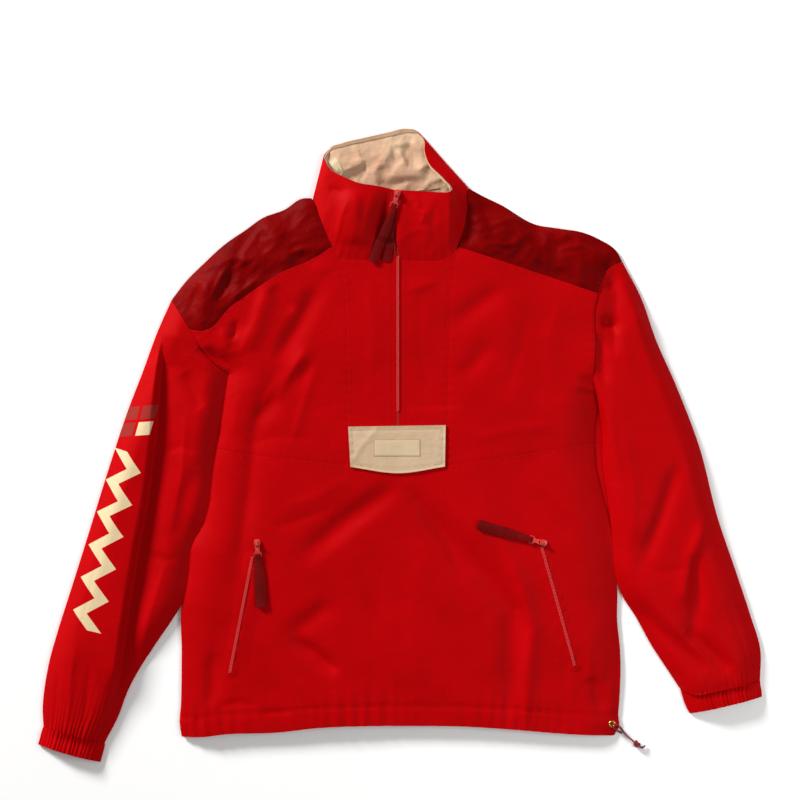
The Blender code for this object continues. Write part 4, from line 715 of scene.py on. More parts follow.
def creases(at, folds):
    """Folds with a narrower crest, as crisp cloth takes them."""
    total = np.zeros(at.shape[:-1])
    for _, height, left, right, run in folds:
        distance, side, share = run_distance(at, run)
        width = np.where(side > 0, right, left)
        fade = 1 - np.abs(2 * share - 1) ** 3
        beyond = np.sqrt(distance ** 2 + 0.6 ** 2)
        total += height * (0.15 + 0.85 * fade) * np.exp(-((beyond / width) ** 1.3))
    return total


# Crumples of the front: (patch size, height, seed).
BODY_CRUMPLES = [(95.0, 2.2, 1.7), (34.0, 0.6, 5.1), (12.0, 0.08, 7.7)]
# How soon the cloth turns level inside each of EDGES: under 1 is sooner.
EDGE_FULLNESS = [0.6, 0.9, 1.0, 1.0]


def fine_height(at, lift_reach=TRIM_LIFT_REACH):
    """Outer height of the front with its small folds and crumples."""
    small = FOLD_GAIN * relief(at, BODY_FOLDS) + FINE_GAIN * creases(at, FINE_BODY)
    for size, amount, seed in BODY_CRUMPLES:
        small = small + crumple(at, size, amount, seed)
    return raised(at, small, lift_reach, EDGE_FULLNESS)


SEAMS = [YOKE_SEAM_LEFT, YOKE_SEAM_RIGHT, PLACKET_LEFT, PLACKET_RIGHT, CHEST_SEAM_LEFT, CHEST_SEAM_RIGHT,
         NECK_LEFT, NECK_RIGHT, YOKE_NECK_LEFT, YOKE_NECK_RIGHT, ARM_LEFT, ARM_LEFT_YOKE, ARM_RIGHT,
         ARM_RIGHT_YOKE]
SEAM_DIP = 0.28
SEAM_WIDTH = 1.6
PUCKER_PITCH = 11.0
PUCKER_RISE = 0.22
SEAM_GAP = 0.06


def seam_relief(at, seams):
    """The dip along each seam and the small puckers that its stitching pulls beside it."""
    total = np.zeros(at.shape[:-1])
    for number, run in enumerate(seams):
        line = np.asarray(run, float)
        length = np.linalg.norm(np.diff(line, axis=0), axis=1).sum()
        distance, _, share = run_distance(at, run)
        total -= SEAM_DIP * np.exp(-((distance / SEAM_WIDTH) ** 2))
        wave = np.sin(share * length / PUCKER_PITCH * 2 * math.pi
                      + 2.1 * np.sin(share * length / 31.0) + number)
        total += PUCKER_RISE * wave * np.exp(-((distance - 4.0) / 6.0) ** 2) * (distance > 0)
    return total


CASING = 26.0
HEM_GATHERS = 36


def hem_relief(at):
    """Hem casing: a dip at its stitching and gathers between it and the edge."""
    distance, _, share = run_distance(at, HEM)
    total = -0.9 * np.exp(-(((distance - CASING) / 2.2) ** 2))
    wave = np.sin(share * HEM_GATHERS * 2 * math.pi + 1.8 * np.sin(share * 23.0) + 0.8 * np.sin(share * 61.0))
    uneven = 0.55 + 0.45 * np.sin(share * 17.0 + 1.0)
    total += 1.0 * wave * uneven * np.exp(-((distance - 0.6 * CASING) / (1.1 * CASING)) ** 2)
    return total


LIP_RISE = 1.5
LIP_DIP = 0.7


def pocket_relief(at):
    """Lips of cloth beside each pocket zip and the dip of the stitching round it."""
    total = np.zeros(at.shape[:-1])
    for _, head, foot in POCKET_ZIPS:
        distance = run_distance(at, [head, foot])[0]
        total += LIP_RISE * np.exp(-(((distance - 4.6) / 1.7) ** 2))
        total -= LIP_DIP * np.exp(-(((distance - 8.5) / 1.6) ** 2))
    return total


def front_height(at, lift_reach=TRIM_LIFT_REACH):
    return fine_height(at, lift_reach) + seam_relief(at, SEAMS) + hem_relief(at) + pocket_relief(at)


# ---------------------------------------------------------------- building

GARMENT = "garment"
SHARP_CLOTH = math.radians(55)
SHARP_METAL = math.radians(40)


def linked(name, data):
    """New object of the data, in the scene."""
    made = bpy.data.objects.new(name, data)
    bpy.context.scene.collection.objects.link(made)
    return made


def evaluated_mesh(made):
    """New mesh of the object with its modifiers applied."""
    bpy.context.view_layer.update()
    graph = bpy.context.evaluated_depsgraph_get()
    return bpy.data.meshes.new_from_object(made.evaluated_get(graph), depsgraph=graph)


def mesh_piece(name, points, faces, made_of, uvs=None, extra=None):
    mesh = bpy.data.meshes.new(name)
    mesh.vertices.add(len(points))
    mesh.vertices.foreach_set("co", (np.asarray(points, np.float32) * MM).ravel())
    faces = np.asarray(faces, np.int32)
    corners = faces.shape[1]
    mesh.loops.add(faces.size)
    mesh.loops.foreach_set("vertex_index", faces.ravel())
    mesh.polygons.add(len(faces))
    mesh.polygons.foreach_set("loop_start", np.arange(len(faces), dtype=np.int32) * corners)
    mesh.update(calc_edges=True)
    for label, values in (("UVMap", uvs), ("Print", extra)):
        if values is not None:
            layer = mesh.uv_layers.new(name=label)
            layer.data.foreach_set("uv", np.asarray(values, np.float32)[faces.ravel()].ravel())
    mesh.materials.append(made_of)
    mesh.shade_smooth()
    mesh.set_sharp_from_angle(angle=SHARP_CLOTH)
    return linked(name, mesh)


def with_height(plan, height):
    return np.concatenate([plan, height[..., None]], axis=-1)


def normals(grid):
    along = np.gradient(grid, axis=1)
    up = np.gradient(grid, axis=0)
    cross = np.cross(along, up)
    return cross / np.maximum(np.linalg.norm(cross, axis=-1, keepdims=True), 1e-9)


def arc_map(grid):
    """Own map of a grid in metres, along its columns and rows, so that threads keep their size."""
    across = np.linalg.norm(np.diff(grid, axis=1), axis=-1).mean(0)
    up = np.linalg.norm(np.diff(grid, axis=0), axis=-1).mean(1)
    u = np.concatenate([[0], np.cumsum(across)]) * MM
    v = np.concatenate([[0], np.cumsum(up)]) * MM
    return np.stack(np.meshgrid(u, v), axis=-1)


def grid_faces(rows, columns, ring=False):
    r, c = np.meshgrid(np.arange(rows - 1), np.arange(columns if ring else columns - 1), indexing="ij")
    after = (c + 1) % columns
    return np.stack([r * columns + c, r * columns + after, (r + 1) * columns + after,
                     (r + 1) * columns + c], axis=-1).reshape(-1, 4)


def smoothed(values, rounds):
    made = np.asarray(values, float)
    for _ in range(rounds):
        padded = np.concatenate([made[:1], made, made[-1:]])
        made = (padded[:-2] + 2 * made + padded[2:]) / 4
    return made


def sheet_piece(name, outer, inner, made_of, ring=False, extra=None):
    """Thin closed cloth between an outer and an inner grid; a ring has its columns joined round."""
    rows, columns = outer.shape[:2]
    skin = grid_faces(rows, columns, ring)
    shift = rows * columns
    faces = [skin, skin[:, ::-1] + shift]
    if ring:
        for row in (0, rows - 1):
            c = np.arange(columns)
            after = (c + 1) % columns
            edge = np.stack([row * columns + after, row * columns + c, row * columns + c + shift,
                             row * columns + after + shift], axis=-1)
            faces.append(edge if row == 0 else edge[:, ::-1])
    else:
        rim = list(range(columns))
        rim += [r * columns + columns - 1 for r in range(1, rows)]
        rim += [(rows - 1) * columns + c for c in range(columns - 2, -1, -1)]
        rim += [r * columns for r in range(rows - 2, 0, -1)]
        here = np.array(rim)
        after = np.roll(here, -1)
        faces.append(np.stack([after, here, here + shift, after + shift], axis=-1))
    faces = np.concatenate(faces)
    points = np.concatenate([outer.reshape(-1, 3), inner.reshape(-1, 3)])
    uvs = np.tile(arc_map(outer).reshape(-1, 2), (2, 1))
    if extra is not None:
        extra = np.tile(extra.reshape(-1, 2), (2, 1))
    a, b, c = (points[faces[:, k]] for k in (0, 1, 2))
    d = points[faces[:, 3]]
    volume = (np.einsum("ij,ij->i", a, np.cross(b, c)) + np.einsum("ij,ij->i", a, np.cross(c, d))).sum()
    if volume < 0:
        faces = faces[:, ::-1]
    return mesh_piece(name, points, faces, made_of, uvs, extra)


def fitted(made, nodes, body=GARMENT):
    """The piece on its body, in place of the nodes."""
    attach(made, body)
    if nodes:
        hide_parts(*((nodes,) if isinstance(nodes, str) else nodes))
    return made


def slab(name, top, depth, made_of, nodes):
    """Flat strip or patch of even depth below its top grid."""
    low = top.copy()
    low[..., 2] -= depth
    return fitted(sheet_piece(name, top, low, made_of), nodes)


def run_length(run):
    return np.linalg.norm(np.diff(np.asarray(run, float), axis=0), axis=1).sum()


# Lowest underside of a front panel, clear of the back.
LEAST_INNER = 1.6
# How sharply the yokes' crumples end at their edges.
YOKE_EDGE_POWER = 6


def front_panel(name, bottom, top, left, right, made_of):
    plan = inset(coons(bottom, top, left, right), SEAM_GAP / 2)
    height = front_height(plan, PANEL_LIFT_REACH)
    if made_of is MAROON:
        v, u = (np.linspace(-1, 1, count) for count in plan.shape[:2])
        away = (1 - u[None] ** YOKE_EDGE_POWER) * (1 - v[:, None] ** YOKE_EDGE_POWER)
        height = height + away * (crumple(plan, 34.0, 2.6, 5.5) + crinkle(plan, 46.0, 5.0, 2.5)
                                  + crinkle(plan, 21.0, 2.2, 8.1))
    outer = with_height(plan, height)
    inner = outer - normals(outer) * CLOTH
    inner[..., 2] = np.maximum(inner[..., 2], LEAST_INNER)
    made = fitted(sheet_piece("cloth_" + name, outer, inner, made_of), name)
    return made


def joined(*runs):
    """Sampled runs, end to end."""
    return np.concatenate([runs[0]] + [run[1:] for run in runs[1:]])


# Back: flat on the surface. Its side reaches under the right sleeve a little.
BACK_NECK = [SHOULDER_LEFT[-1], (-62.5, 318), (-14.5, 317.5), (26, 319.5), (60, 325.5), SHOULDER_RIGHT[0]]
BACK_SIDE = HEM_RIGHT[:8] + [(276, -117), (271.5, -66.5), (266, -27.5), (264.5, 2.5)]
BACK_SIDE_TOP = [(264.5, 2.5), (263.5, 26), (259.5, 48), (256, 61)]
BACK_INSET = 0.8
BACK_TOP = 1.1
BACK_UNDERSIDE = 0.15
back_top = joined(even(SHOULDER_LEFT, 42), even(BACK_NECK, 24), even(SHOULDER_RIGHT, 34))
back_left = joined(even(HEM_LEFT, 50), even(SIDE_LEFT, 14), even(ARM_LEFT + ARM_LEFT_YOKE[1:], 16))
back_right = joined(even(BACK_SIDE, 52), even(BACK_SIDE_TOP, 10), even(ARM_RIGHT + ARM_RIGHT_YOKE[1:], 18))
back_plan = inset(coons(even(HEM, 100), back_top, back_left, back_right), BACK_INSET)
back_outer = with_height(back_plan, BACK_TOP + np.abs(crumple(back_plan, 30.0, 0.15, 8.0)))
back_inner = with_height(back_plan, BACK_UNDERSIDE + np.abs(crumple(back_plan, 24.0, 0.5, 3.0)))
back = fitted(sheet_piece("back_cloth", back_outer, back_inner, RED), "back_panel")

# Front panels. Samples across each column of panels and up each row of them.
ACROSS_LEFT, ACROSS_RIGHT, ACROSS_PLACKET = 44, 52, 18
UP_CHEST, UP_YOKE, UP_LOWER = 76, 34, 104
UP_SIDE_LEFT, UP_SIDE_RIGHT = 42, 24
seam_left, seam_right = even(CHEST_SEAM_LEFT, ACROSS_LEFT), even(CHEST_SEAM_RIGHT, ACROSS_RIGHT)
foot_left, foot_right = (even(foot, ACROSS_PLACKET) for foot in (PLACKET_FOOT_LEFT, PLACKET_FOOT_RIGHT))
whole_seam = joined(seam_left, foot_left, even(ZIP_FOOT, 1), foot_right, seam_right)
yoke_low_left, yoke_low_right = even(YOKE_SEAM_LEFT, ACROSS_LEFT), even(YOKE_SEAM_RIGHT, ACROSS_RIGHT)
placket_side_left, placket_side_right, zip_side_left, zip_side_right = (
    even(side, UP_CHEST) for side in (PLACKET_LEFT, PLACKET_RIGHT, ZIP_LEFT, ZIP_RIGHT))
chest_side_left = joined(even(SIDE_LEFT, UP_SIDE_LEFT), even(ARM_LEFT, UP_CHEST - UP_SIDE_LEFT))
chest_side_right = joined(even(SIDE_RIGHT, UP_SIDE_RIGHT), even(ARM_RIGHT, UP_CHEST - UP_SIDE_RIGHT))
front_panel("front_lower", even(HEM, len(whole_seam) - 1), whole_seam, even(HEM_LEFT, UP_LOWER),
            even(HEM_RIGHT, UP_LOWER), RED)
front_panel("chest_left", seam_left, yoke_low_left, chest_side_left, placket_side_left, RED)
front_panel("chest_right", seam_right, yoke_low_right, placket_side_right, chest_side_right, RED)
front_panel("placket_left", foot_left, even(NECK_LEFT, ACROSS_PLACKET), placket_side_left, zip_side_left,
            RED)
front_panel("placket_right", foot_right, even(NECK_RIGHT, ACROSS_PLACKET), zip_side_right,
            placket_side_right, RED)
front_panel("yoke_left", yoke_low_left, even(SHOULDER_LEFT, ACROSS_LEFT), even(ARM_LEFT_YOKE, UP_YOKE),
            even(YOKE_NECK_LEFT, UP_YOKE), MAROON)
front_panel("yoke_right", yoke_low_right, even(SHOULDER_RIGHT, ACROSS_RIGHT),
            even(YOKE_NECK_RIGHT, UP_YOKE), even(ARM_RIGHT_YOKE, UP_YOKE), MAROON)


# ---------------------------------------------------------------- sleeves and cuffs

TUBE_EDGE = 3.2
TUBE_ROLL = 34.0


def tube_plan(table, start_seam, end_seam, rows, across):
    shares = np.linspace(0, 1, rows + 1)
    track = tube_rows(table, shares)
    t = across[None, :, None]
    plan = track[:, None, :2] * (1 - t) + track[:, None, 2:4] * t
    for seam, row, reach in ((start_seam, 0, 5), (end_seam, -1, 6)):
        if seam is not None:
            bend = curve(seam, across) - plan[row]
            from_end = shares if row == 0 else 1 - shares
            fade = np.clip(1 - from_end * reach, 0, 1) ** 1.5
            plan = plan + fade[:, None, None] * bend[None]
    return plan, track


PLEAT_LIFT = 4.0
PLEAT_DROP = 12.0


def pleat_step(at, run):
    """Pleat: a nearly level strip up to its fold line, then a drop to the cloth below."""
    distance, side, share = run_distance(at, run)
    beyond = 0.5 - 0.5 * np.tanh(side * distance / 1.9)
    lift = PLEAT_LIFT * np.exp(-((distance / 48.0) ** 2))
    drop = PLEAT_DROP * np.exp(-((distance / 40.0) ** 1.5))
    ends = np.clip(share / 0.08, 0, 1) * np.clip((1.0 - share) / 0.12, 0, 1)
    return ends * ((1 - beyond) * lift - beyond * drop)


TUBE_FLOOR = 0.1
FLOOR_COLUMNS = 22
SIDE_WALL = 1.3 * CLOTH
END_DIP = 0.5
END_DIP_WIDTH = 3.0
CUFF_GATHERS = 17


def unit(step):
    return step / np.linalg.norm(step, axis=-1, keepdims=True)


def cloth_tube(name, table, folds, fine, start_seam, end_seam, rows, top_count, made_of, gather=0.0,
               gathers=0.0, loose=1.0, print_frame=None, nodes=(), meets=0.0, pressed=0.0, pleat=None):
    """Sleeve or cuff as one flattened tube, from its start seam to its end seam.

    gather is the height of elastic gathers; a sleeve has none. Its inner edge is pressed against the
    body by the given amount, as far down as the share meets.
    """
    across = 0.5 - 0.5 * np.cos(np.linspace(0, math.pi, top_count + 1))
    across = 0.3 * across + 0.7 * np.linspace(0, 1, top_count + 1)
    plan, track = tube_plan(table, start_seam, end_seam, rows, across)
    plan[0] += unit(plan[1] - plan[0]) * GAP
    plan[-1] += unit(plan[-1] - plan[-2]) * (0.0 if gather else 1.0)
    shares = np.linspace(0, 1, rows + 1)
    touching = np.clip(shares / 0.06, 0, 1) * np.clip((meets - shares) / 0.1, 0, 1)
    inner_way = unit(plan[:, -1] - plan[:, 0])
    plan += (touching * pressed)[:, None, None] * inner_way[:, None] * across[None, :, None] ** 4
    width = np.linalg.norm(track[:, 2:4] - track[:, :2], axis=1)[:, None]
    near = np.minimum(across[None], 1 - across[None]) * width
    roll = np.minimum(TUBE_ROLL, 0.45 * width)
    small = SLEEVE_GAIN * relief(plan, folds) + FINE_GAIN * creases(plan, fine)
    if pleat:
        small = small + pleat_step(plan, pleat)
    small = small + loose * (crumple(plan, 70.0, 1.8, 2.2) + crumple(plan, 28.0, 0.5, 6.4))
    shares = shares[:, None]
    if gather:
        run = across[None] * gathers * 2 * math.pi
        wobble = run + 0.9 * np.sin(run * 0.31 + 1.0) + 0.5 * np.sin(shares * 3.0 + run * 0.13)
        small = small + gather * np.sin(wobble) * (0.75 + 0.25 * np.sin(run * 0.21 + 2))
    else:
        # The cuff's gathers run a little way up the sleeve, and the seams dip at both ends.
        length = np.linalg.norm(np.diff((track[:, :2] + track[:, 2:4]) / 2, axis=0), axis=1).sum()
        from_cuff = (1 - shares) * length
        run = across[None] * CUFF_GATHERS * 2 * math.pi
        small = small + 0.9 * np.sin(run + 1.3 * np.sin(run * 0.23)) * np.exp(-from_cuff / 22.0)
        for from_end in (from_cuff, shares * length):
            small = small - END_DIP * np.exp(-(from_end / END_DIP_WIDTH) ** 2)
    outer_top = with_height(plan, TUBE_EDGE + rise(near, roll) * np.maximum(track[:, 4:5] + small, 2.0))
    floor_plan = plan[:, np.linspace(top_count, 0, FLOOR_COLUMNS).round().astype(int)]
    outer_floor = with_height(floor_plan, TUBE_FLOOR + np.abs(crumple(floor_plan, 22.0, 0.5, 4.0)))
    skin = normals(outer_top)
    skin *= math.copysign(1.0, skin[..., 2].mean())
    inner_top = outer_top - skin * CLOTH
    inward = (plan[:, -1] - plan[:, 0]) / width
    inner_top[:, 0, :2] = plan[:, 0] + inward * SIDE_WALL
    inner_top[:, -1, :2] = plan[:, -1] - inward * SIDE_WALL
    inner_top[:, (0, -1), 2] = TUBE_EDGE - CLOTH
    inner_floor = outer_floor.copy()
    inner_floor[..., 2] += CLOTH
    inner_floor[:, 0, :2] = inner_top[:, -1, :2]
    inner_floor[:, -1, :2] = inner_top[:, 0, :2]
    outer = np.concatenate([outer_top, outer_floor], axis=1)
    inner = np.concatenate([inner_top, inner_floor], axis=1)
    extra = print_frame(outer) if print_frame else None
    made = sheet_piece("cloth_" + name, outer, inner, made_of, ring=True, extra=extra)
    fitted(made, nodes or name)


# The print runs down the outer strip of one sleeve: its axis, in plan.
PRINT_AXIS = [(-349.5, -9), (-361.5, -53.5), (-377, -110.5), (-394, -183.5), (-409.5, -253.5)]


UNDERSIDE_TOP = 2.0
OFF_PRINT = 900.0
FAR = 1e4


def print_map(outer):
    """Millimetres across and along the print's axis; the underside lies outside it."""
    at = outer[..., :2]
    line = np.asarray(PRINT_AXIS, float)
    lengths = np.linalg.norm(np.diff(line, axis=0), axis=1)
    before = np.concatenate([[0.0], np.cumsum(lengths)])
    best = np.full(at.shape[:-1], 1e9)
    made = np.zeros(at.shape)
    for index in range(len(line) - 1):
        step = (line[index + 1] - line[index]) / lengths[index]
        away = at - line[index]
        low = -FAR if index == 0 else 0.0
        high = FAR if index == len(line) - 2 else lengths[index]
        t = np.clip(away @ step, low, high)
        gap = away - t[..., None] * step
        distance = np.linalg.norm(gap, axis=-1)
        side = np.sign(step[0] * away[..., 1] - step[1] * away[..., 0])
        nearer = distance < best
        best = np.where(nearer, distance, best)
        made[..., 0] = np.where(nearer, side * distance, made[..., 0])
        made[..., 1] = np.where(nearer, before[index] + t, made[..., 1])
    made[..., 0] = np.where(outer[..., 2] < UNDERSIDE_TOP, OFF_PRINT, made[..., 0])
    return made


left_armhole = list(reversed(ARM_LEFT + ARM_LEFT_YOKE[1:]))
right_armhole = list(reversed(ARM_RIGHT + ARM_RIGHT_YOKE[1:]))
PLEAT_LINE = SLEEVE_LEFT_FOLDS[0][4]
cloth_tube("sleeve_left", SLEEVE_LEFT, SLEEVE_LEFT_FOLDS[2:], FINE_LEFT, left_armhole, None, 170, 110,
           RED_PRINT, print_frame=print_map, meets=0.68, pressed=4.2, pleat=PLEAT_LINE,
           nodes=("sleeve_left_upper", "sleeve_left_lower"))
cloth_tube("sleeve_right", SLEEVE_RIGHT, SLEEVE_RIGHT_FOLDS, FINE_RIGHT, right_armhole, CUFF_SEAM_RIGHT,
           150, 60, RED, meets=0.62, pressed=4.4,
           nodes=("sleeve_right_upper", "sleeve_right_lower"))
for name, table, seam, size, gathers in (
        ("cuff_left", CUFF_LEFT, None, (0.20, 0.03, 0.0052), 17),
        ("cuff_right", CUFF_RIGHT, CUFF_TOP_RIGHT, (0.22, 0.03, 0.0058), 19)):
    cloth_tube(name, table, [], [], seam, None, 12, 130, RED, gather=1.1, gathers=gathers, loose=0.3)


# ---------------------------------------------------------------- collar

FOOT_GAP = 0.2
COLLAR_SAMPLE = 2.4


def collar_grid(around, up):
    """Outer face of the collar, from its foot to its rim."""
    rows = []
    for foot_x, foot_y, foot_z, rim_x, rim_y, rim_z, bulge in COLLAR:
        if foot_z is None:
            foot_z = float(body_height(np.array([foot_x, foot_y]))) + FOOT_GAP
        rows.append((rim_x, rim_y, rim_z, foot_x, foot_y, foot_z, bulge))
    rows = np.asarray(rows, float)
    steps = np.linalg.norm(np.diff((rows[:, :3] + rows[:, 3:6]) / 2, axis=0), axis=1)
    at = shares_along(steps)
    # The stations crowd where the collar turns, so the samples follow them.
    wanted = [0.0]
    for number, step in enumerate(steps):
        parts = max(2 if step > 9 else 3, int(round(step / around)))
        wanted += list(np.linspace(at[number], at[number + 1], parts + 1)[1:])
    ring = smooth_between(rows, at, wanted)
    v = np.linspace(0, 1, up + 1)[:, None, None]
    grid = (1 - v) * ring[None, :, 3:6] + v * ring[None, :, :3]
    grid[..., 2] += 4 * v[..., 0] * (1 - v[..., 0]) * ring[None, :, 6]
    grid[..., 2] = np.maximum(grid[..., 2], 0.0)
    return grid


UP_COLLAR = 36
LAP_OVER = 4.6
LAP_CORNERS = [(-74, 248.5), (67.5, 252)]
LAP_AT_CORNERS = 5.0
LAP_CORNER_WIDTH = 13.0
collar = collar_grid(COLLAR_SAMPLE, UP_COLLAR)
v_share = np.linspace(0, 1, UP_COLLAR + 1)[:, None]

# The foot laps over the neck edge of the front, following its folds.
foot_gap = np.abs(collar[0, :, 2] - body_height(collar[0, :, :2]) - FOOT_GAP)
on_panels = smoothed(np.clip(2.5 - foot_gap / 1.5, 0, 1) * (collar[0, :, 2] > 8.0), 2)
step = collar[0] - collar[1]
step[:, 2] = 0.0
outward = step / np.maximum(np.linalg.norm(step, axis=-1, keepdims=True), 1e-6)
corner = np.zeros(collar.shape[1])
for spot in LAP_CORNERS:
    corner += np.exp(-(np.linalg.norm(collar[0, :, :2] - np.array(spot), axis=-1) / LAP_CORNER_WIDTH) ** 2)
reach = (on_panels * (LAP_OVER + LAP_AT_CORNERS * corner))[:, None] * outward
collar += reach[None] * np.clip(1 - v_share / 0.5, 0, 1)[..., None] ** 1.5
drop = on_panels * (front_height(collar[0, :, :2]) - 0.12 - collar[0, :, 2])
collar[..., 2] += drop[None] * np.clip(1 - v_share / 0.45, 0, 1) ** 1.5

CREASE_GAIN = 1.5
WAVE_GAIN = 1.25
LINING_GAIN = 2.6
LINING_SLACK = 2.6
MOST_RIPPLE = 5.6
LINING_WALL = 0.7

# The front edge on one side laps over the zip below the slider.
LAP_REACH = 6.5
LAP_LIFT = 1.7
LAP_TOP = 0.86
from_edge = np.linalg.norm(collar - collar[:, :1], axis=-1)
lap = np.exp(-((from_edge / 9.0) ** 2)) * np.sin(math.pi * v_share) ** 0.8 * (v_share < LAP_TOP)
lap *= np.clip((LAP_TOP - v_share) / 0.2, 0, 1)
collar[..., 0] -= LAP_REACH * lap
collar[..., 2] += LAP_LIFT * lap
collar_skin = normals(collar)
facing_up = np.clip(collar_skin[..., 2] * 1.5, 0, 1)
collar_plan = collar[..., :2]
push = facing_up * (crinkle(collar_plan, 44.0, 0.9, 1.2) + CREASE_GAIN * creases(collar_plan, COLLAR_FOLDS)
                    + WAVE_GAIN * relief(collar_plan, COLLAR_WAVES)
                    + crumple(collar_plan, 40.0, 1.0, 9.0) + crumple(collar_plan, 15.0, 0.25, 3.3))
push *= np.sin(math.pi * np.clip(v_share, 0.02, 0.97)) ** 0.5
collar_shape = collar + collar_skin * push[..., None]
collar_outer = sheet_piece("cloth_collar_outer", collar_shape, collar_shape - collar_skin * CLOTH, RED)
fitted(collar_outer, "collar_outer")
facing_down = np.clip(-collar_skin[..., 2] * 1.5, 0, 1)
ripple = facing_down * (LINING_GAIN * creases(collar_plan, LINING_FOLDS)
                        + crumple(collar_plan, 30.0, 1.6, 2.0)
                        + crinkle(collar_plan, 30.0, 3.8, 7.0) + crinkle(collar_plan, 14.0, 1.6, 3.0)
                        + LINING_SLACK)
ripple = np.clip(ripple, 0, MOST_RIPPLE)
ripple *= np.sin(math.pi * np.clip(v_share, 0.05, 0.95)) ** 0.7
lining = collar + collar_skin * (np.minimum(push, 0) - CLOTH - GAP - np.maximum(ripple, 0))[..., None]
# The lining's two colours carry painted shade and painted light in random blotches.
lining_piece = fitted(sheet_piece("cloth_collar_lining", lining, lining - collar_skin * LINING_WALL, LINING_WITH_PAINTED_SHADE),
                      "collar_lining")


def on_lining(name, rows, columns, depth, made_of):
    """Strip along the lining, the given depth inside it."""
    at = (lining - collar_skin * depth)[rows, columns]
    strip = sheet_piece(name, at, at - collar_skin[rows, columns] * LINING_WALL, made_of)
    return fitted(strip, None)


lining_trim = [on_lining("collar_binding", slice(-3, None), slice(None), 0.9, BINDING)]

# Paler facing along one side of the rim.
rim = collar[-1]
faced_columns = np.nonzero((rim[:, 0] > 30.0) & (rim[:, 1] > 322.0) & (rim[:, 1] < 386.0))[0]
faced = slice(faced_columns[0], faced_columns[-1] + 1)
lining_trim.append(on_lining("collar_facing", slice(-8, None), faced, 1.2, LABEL_CLOTH))

# Zip tape between the two front edges, a little below them.
TAPE_DROP = 1.5
TAPE_WALL = 0.6
edge_a = collar_shape[:, 0]
edge_b = collar_shape[:, -1]
tape_rows = np.stack([edge_b + (edge_b - edge_a) * 1.1, edge_b * 0.6 + edge_a * 0.4,
                      edge_a + (edge_a - edge_b) * 1.1], axis=1)
tape_rows[..., 2] = np.minimum(edge_a[:, 2], edge_b[:, 2])[:, None] - TAPE_DROP
collar_tape = slab("collar_zip_tape", tape_rows[:-1], TAPE_WALL, ZIP_TAPE, None)

def tree_of(names):
    """Search trees of the named pieces, as evaluated now."""
    bpy.context.view_layer.update()
    graph = bpy.context.evaluated_depsgraph_get()
    return [BVHTree.FromObject(bpy.data.objects[name], graph) for name in names]


# Rays start this far above the surface, in metres.
RAY_FROM = 0.2


def height_below(tree, x, y):
    """Height at which the piece lies under a plan point, or 0."""
    hit = tree.ray_cast(Vector((x * MM, y * MM, RAY_FROM)), Vector((0, 0, -1)))[0]
    return 0.0 if hit is None else hit.z / MM


LINING_TREE = tree_of(["cloth_collar_lining"])[0]


def in_collar(name, low, high, lift):
    """Strip of cloth sewn on the lining, between two runs in plan."""
    plan = coons(even(low, 40), even(high, 40), even([low[0], high[0]], 6), even([low[-1], high[-1]], 6))
    height = np.array([[height_below(LINING_TREE, *spot) for spot in row] for row in plan])
    spread = smoothed(smoothed(height, 2).T, 2).T
    top = with_height(plan, np.maximum(height, spread) + lift)
    return slab(name, top, TAPE_WALL, LABEL_CLOTH, None)


lining_trim.append(in_collar("collar_piping", [(14.5, 329.5), (32.5, 331), (50.5, 333.5)],
                             [(14.5, 331.5), (32.5, 333.5), (49.5, 335.5)], 1.1))
lining_trim.append(in_collar("collar_flap", [(-92.5, 366.5), (-86, 359), (-76.5, 349.5)],
                             [(-84.5, 374), (-78, 365.5), (-73.5, 353.5)], 1.0))

# ---------------------------------------------------------------- patch and label

patch_plan = coons(even(PATCH[:3], 60), even([PATCH[4], PATCH[3]], 60),
                   even([PATCH[0], PATCH[4]], 26), even([PATCH[2], PATCH[3]], 26))
PATCH_GAP = 0.7
PATCH_TOP = 1.3
PATCH_SUNK = 0.4
LABEL_TOP = 2.1
LABEL_WALL = 0.7
# Fold that shows across the patch's corner.
PATCH_FOLD = [(-62.5, -22), (-49.5, -1.5), (-31, 19.5)]


def border(plan, reach):
    """1 on the piece's edge, falling to 0 within the reach; and the distance to the edge."""
    nearest = np.full(plan.shape[:-1], 1e9)
    for run in (plan[0], plan[-1], plan[:, 0], plan[:, -1]):
        nearest = np.minimum(nearest, run_distance(plan, run)[0])
    return np.clip(1 - nearest / reach, 0, 1), nearest


def patch_height(plan):
    """Height that the patch lies on."""
    return front_height(plan) + PATCH_GAP


def patch_crumple(plan):
    return crumple(plan, 22.0, 0.16, 4.4)


near_edge, edge_gap = border(patch_plan, 4.0)
patch_z = patch_height(patch_plan) + PATCH_TOP + 0.5 * near_edge
patch_z -= 0.5 * np.exp(-((edge_gap - 4.5) / 0.9) ** 2)
patch_z += 0.8 * np.exp(-(run_distance(patch_plan, PATCH_FOLD)[0] / 4.0) ** 2)
patch_z += patch_crumple(patch_plan)
made = fitted(sheet_piece("cloth_chest_patch", with_height(patch_plan, patch_z),
                          with_height(patch_plan, patch_height(patch_plan) - PATCH_SUNK), TAN),
              "chest_patch")
label_plan = coons(even(LABEL[:2], 34), even([LABEL[3], LABEL[2]], 34),
                   even([LABEL[0], LABEL[3]], 14), even([LABEL[1], LABEL[2]], 14))
label_z = (patch_height(label_plan) + LABEL_TOP + patch_crumple(label_plan)
           - 0.25 * border(label_plan, 2.0)[0])
made = slab("cloth_patch_label", with_height(label_plan, label_z), LABEL_WALL, LABEL_CLOTH, "patch_label")


# ---------------------------------------------------------------- stitches and zip teeth

